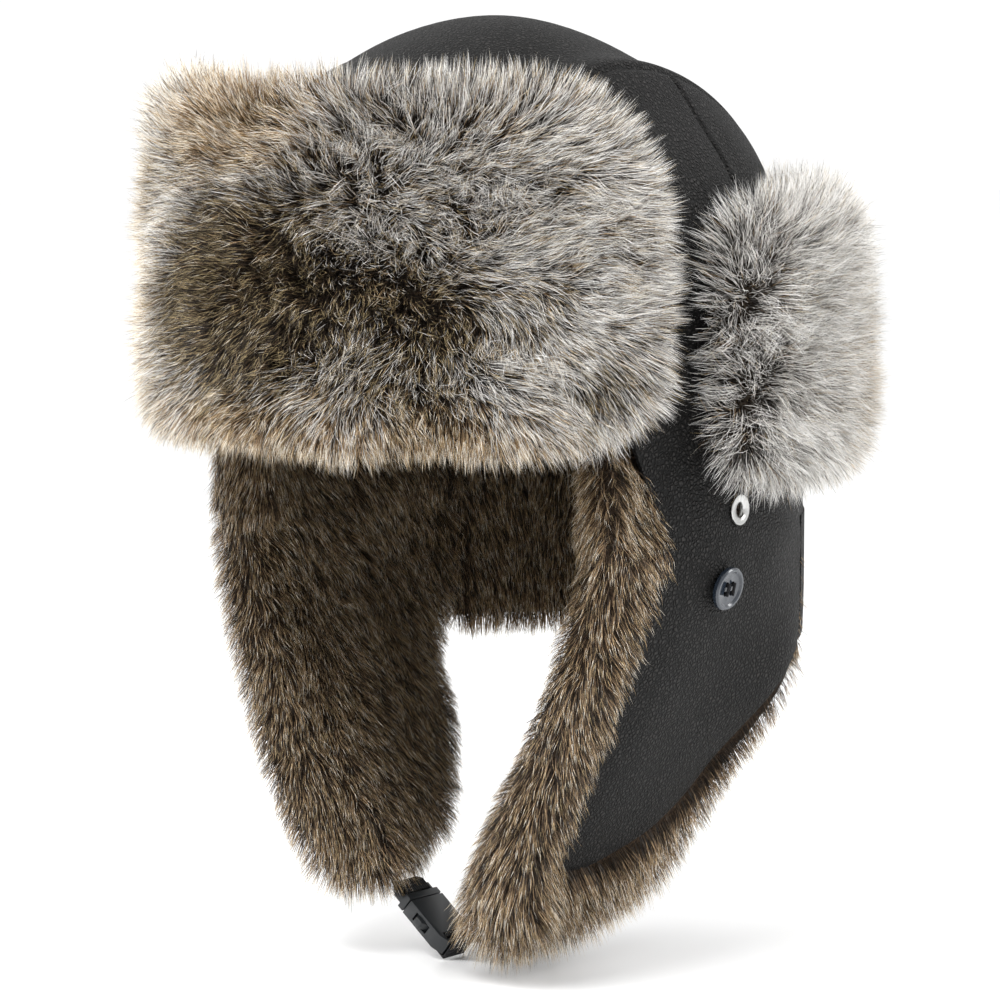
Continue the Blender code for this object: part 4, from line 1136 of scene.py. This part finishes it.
def inner_band(name, kind, nodes, total, seed, mirrored=False):
    """Fur that lines the inside of the hat, against the head."""
    skin = band_skin(name, kind, mirrored)
    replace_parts(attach(skin, "crown"), *nodes)
    hem = kind == "neck"

    def inside(points, facing):
        """The inner face, with the neck's hem, or with what shows below the brow at the side."""
        z = points[:, 2]
        outwards = (facing * unit(points * (1, 1, 0))).sum(axis=1)
        if hem:
            above_hem = (np.abs(facing[:, 2]) < 0.6) & (z > BAND_HEIGHTS[kind][0] + 0.008)
            return outwards < np.where(above_hem, -0.4, 0.6)
        bare = z < rim_z(np.abs(around(points)[0])) - HAIR_MARGIN
        return (outwards < 0.2) | bare

    def length(roots):
        return np.full(len(roots), SHORT_HAIR)

    def pale(roots):
        # A pale base all over: painted light that brightens the fur in the shade inside the hat.
        # Paler still towards the bottom.
        return 0.7 + 0.5 * np.clip((-0.05 - roots[:, 2]) / 0.02, 0, 1)

    def finish(piece):
        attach(piece, "crown")

    grow(f"{name}_hair", skin, inside, combed_style(41, length, pale), total, seed, finish)


def make_fur():
    make_cuff("visor", VISOR, "visor", visor_style, 100)
    make_cuff("rear_cuff", REAR_CUFF, "crown", rear_cuff_style, 200)
    for number, side in enumerate(SIDES):
        make_flap_fur(side, 300 + 20 * number)
        ear, node, seed = f"side_fur_{side}", f"side_fur_lining_{side}", 400 + 20 * number
        inner_band(ear, "side", [node], EAR_HAIRS, seed, SIDES[side] < 0)
    inner_band("neck_fur", "neck", ["neck_fur_lining", "neck_wadding"], NECK_HAIRS, 500)


# ---------------------------------------------------------------- hardware

BUCKLE_BEVEL = 0.0004
WEBBING_BEVEL = 0.0003
BUTTON_BEVEL = 0.0002
BUTTON_EDGE = 25  # degrees: a button's edges past this angle are rounded


def make_hardware():
    for half, body in (("male", "right_flap"), ("female", "left_strap")):
        made = refined(f"buckle_{half}", f"buckle_{half}_moulded", looks["plastic"], BUCKLE_BEVEL)
        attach(made, body)
    for node, body in (("strap_tab_right", "right_flap"), ("strap_left", "left_strap")):
        made = refined(node, f"{node}_webbing", looks["webbing"], WEBBING_BEVEL)
        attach(made, body)
    for side in SIDES:
        flap = f"{side}_flap"
        name = f"button_{side}"
        button = refined(name, f"{name}_moulded", looks["button"], BUTTON_BEVEL, BUTTON_EDGE)
        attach(button, flap)
        stitches = refined(f"button_thread_{side}", f"button_stitches_{side}", looks["thread"], 0)
        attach(stitches, flap)
        for node in (f"eyelet_{side}", f"eyelet_washer_{side}"):
            ring = refined(node, f"{node}_plated", looks["metal"], 0)
            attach(ring, "crown")
    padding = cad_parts["crown_padding"].data.materials
    padding.clear()
    padding.append(looks["wadding"])


# ---------------------------------------------------------------- studio

CAMERA_AZIMUTH = 38.0
CAMERA_ELEVATION = 6.5
CAMERA_DISTANCE = 1.6
FOCAL_LENGTH = 156.0
AIM_SIDEWAYS = -0.0033
AIM_HEIGHT = -0.0167
FLOOR_SIZE = 12.0
FLOOR_GAP = 0.0005
WORLD_STRENGTH = 1.05
LIGHTS = {  # azimuth, elevation, distance, size, power
    "key": (5, 52, 1.3, 0.7, 18),
    "side_left": (125, 25, 1.4, 0.6, 9),
    "side_right": (-65, 20, 1.4, 0.6, 9),
}


def direction(azimuth, elevation):
    """The unit vector from the middle of the hat towards a place round it."""
    a, e = math.radians(azimuth), math.radians(elevation)
    return Vector((math.sin(a) * math.cos(e), -math.cos(a) * math.cos(e), math.sin(e)))


def aim(obj, location, target):
    obj.location = location
    obj.rotation_euler = (target - location).to_track_quat("-Z", "Y").to_euler()


def make_camera():
    data = bpy.data.cameras.new("camera")
    data.lens = FOCAL_LENGTH
    camera = place("camera", data)
    sideways = direction(CAMERA_AZIMUTH + 90, 0)
    target = sideways * AIM_SIDEWAYS + Vector((0, 0, AIM_HEIGHT))
    aim(camera, target + direction(CAMERA_AZIMUTH, CAMERA_ELEVATION) * CAMERA_DISTANCE, target)
    bpy.context.scene.camera = camera


def area_light(name, azimuth, elevation, distance, size, power):
    data = bpy.data.lights.new(name, "AREA")
    data.shape = "DISK"
    data.size = size
    data.energy = power
    light = place(name, data)
    aim(light, direction(azimuth, elevation) * distance, Vector((0, 0, 0)))


def make_studio(floor_z):
    """A pale floor, a white surround and three soft lights."""
    world = bpy.data.worlds.new("studio")
    world.use_nodes = True
    background = world.node_tree.nodes["Background"]
    background.inputs["Color"].default_value = (1, 1, 1, 1)
    background.inputs["Strength"].default_value = WORLD_STRENGTH
    bpy.context.scene.world = world
    for name, light in LIGHTS.items():
        area_light(name, *light)
    surface, _ = new_material("floor_white", (0.96, 0.96, 0.96), 0.35, 0.3)
    mesh = bpy.data.meshes.new("floor")
    half = FLOOR_SIZE / 2
    signs = ((-1, -1), (1, -1), (1, 1), (-1, 1))
    corners = [(half * x, half * y, floor_z) for x, y in signs]
    mesh.from_pydata(corners, [], [(0, 1, 2, 3)])
    mesh.materials.append(surface)
    place("floor", mesh)
    bpy.context.scene.view_settings.view_transform = "Standard"


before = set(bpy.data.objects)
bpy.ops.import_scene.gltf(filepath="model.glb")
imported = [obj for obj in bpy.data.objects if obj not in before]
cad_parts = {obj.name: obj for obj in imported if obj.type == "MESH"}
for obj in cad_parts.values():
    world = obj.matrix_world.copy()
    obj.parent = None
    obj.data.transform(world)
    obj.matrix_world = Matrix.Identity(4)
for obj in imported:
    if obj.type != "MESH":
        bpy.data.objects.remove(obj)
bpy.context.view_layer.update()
looks = make_materials()
make_leather()
quilted_lining()
sweatband()
make_fur()
make_hardware()
make_camera()
shown_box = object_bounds()
make_studio(shown_box[0].z - FLOOR_GAP)
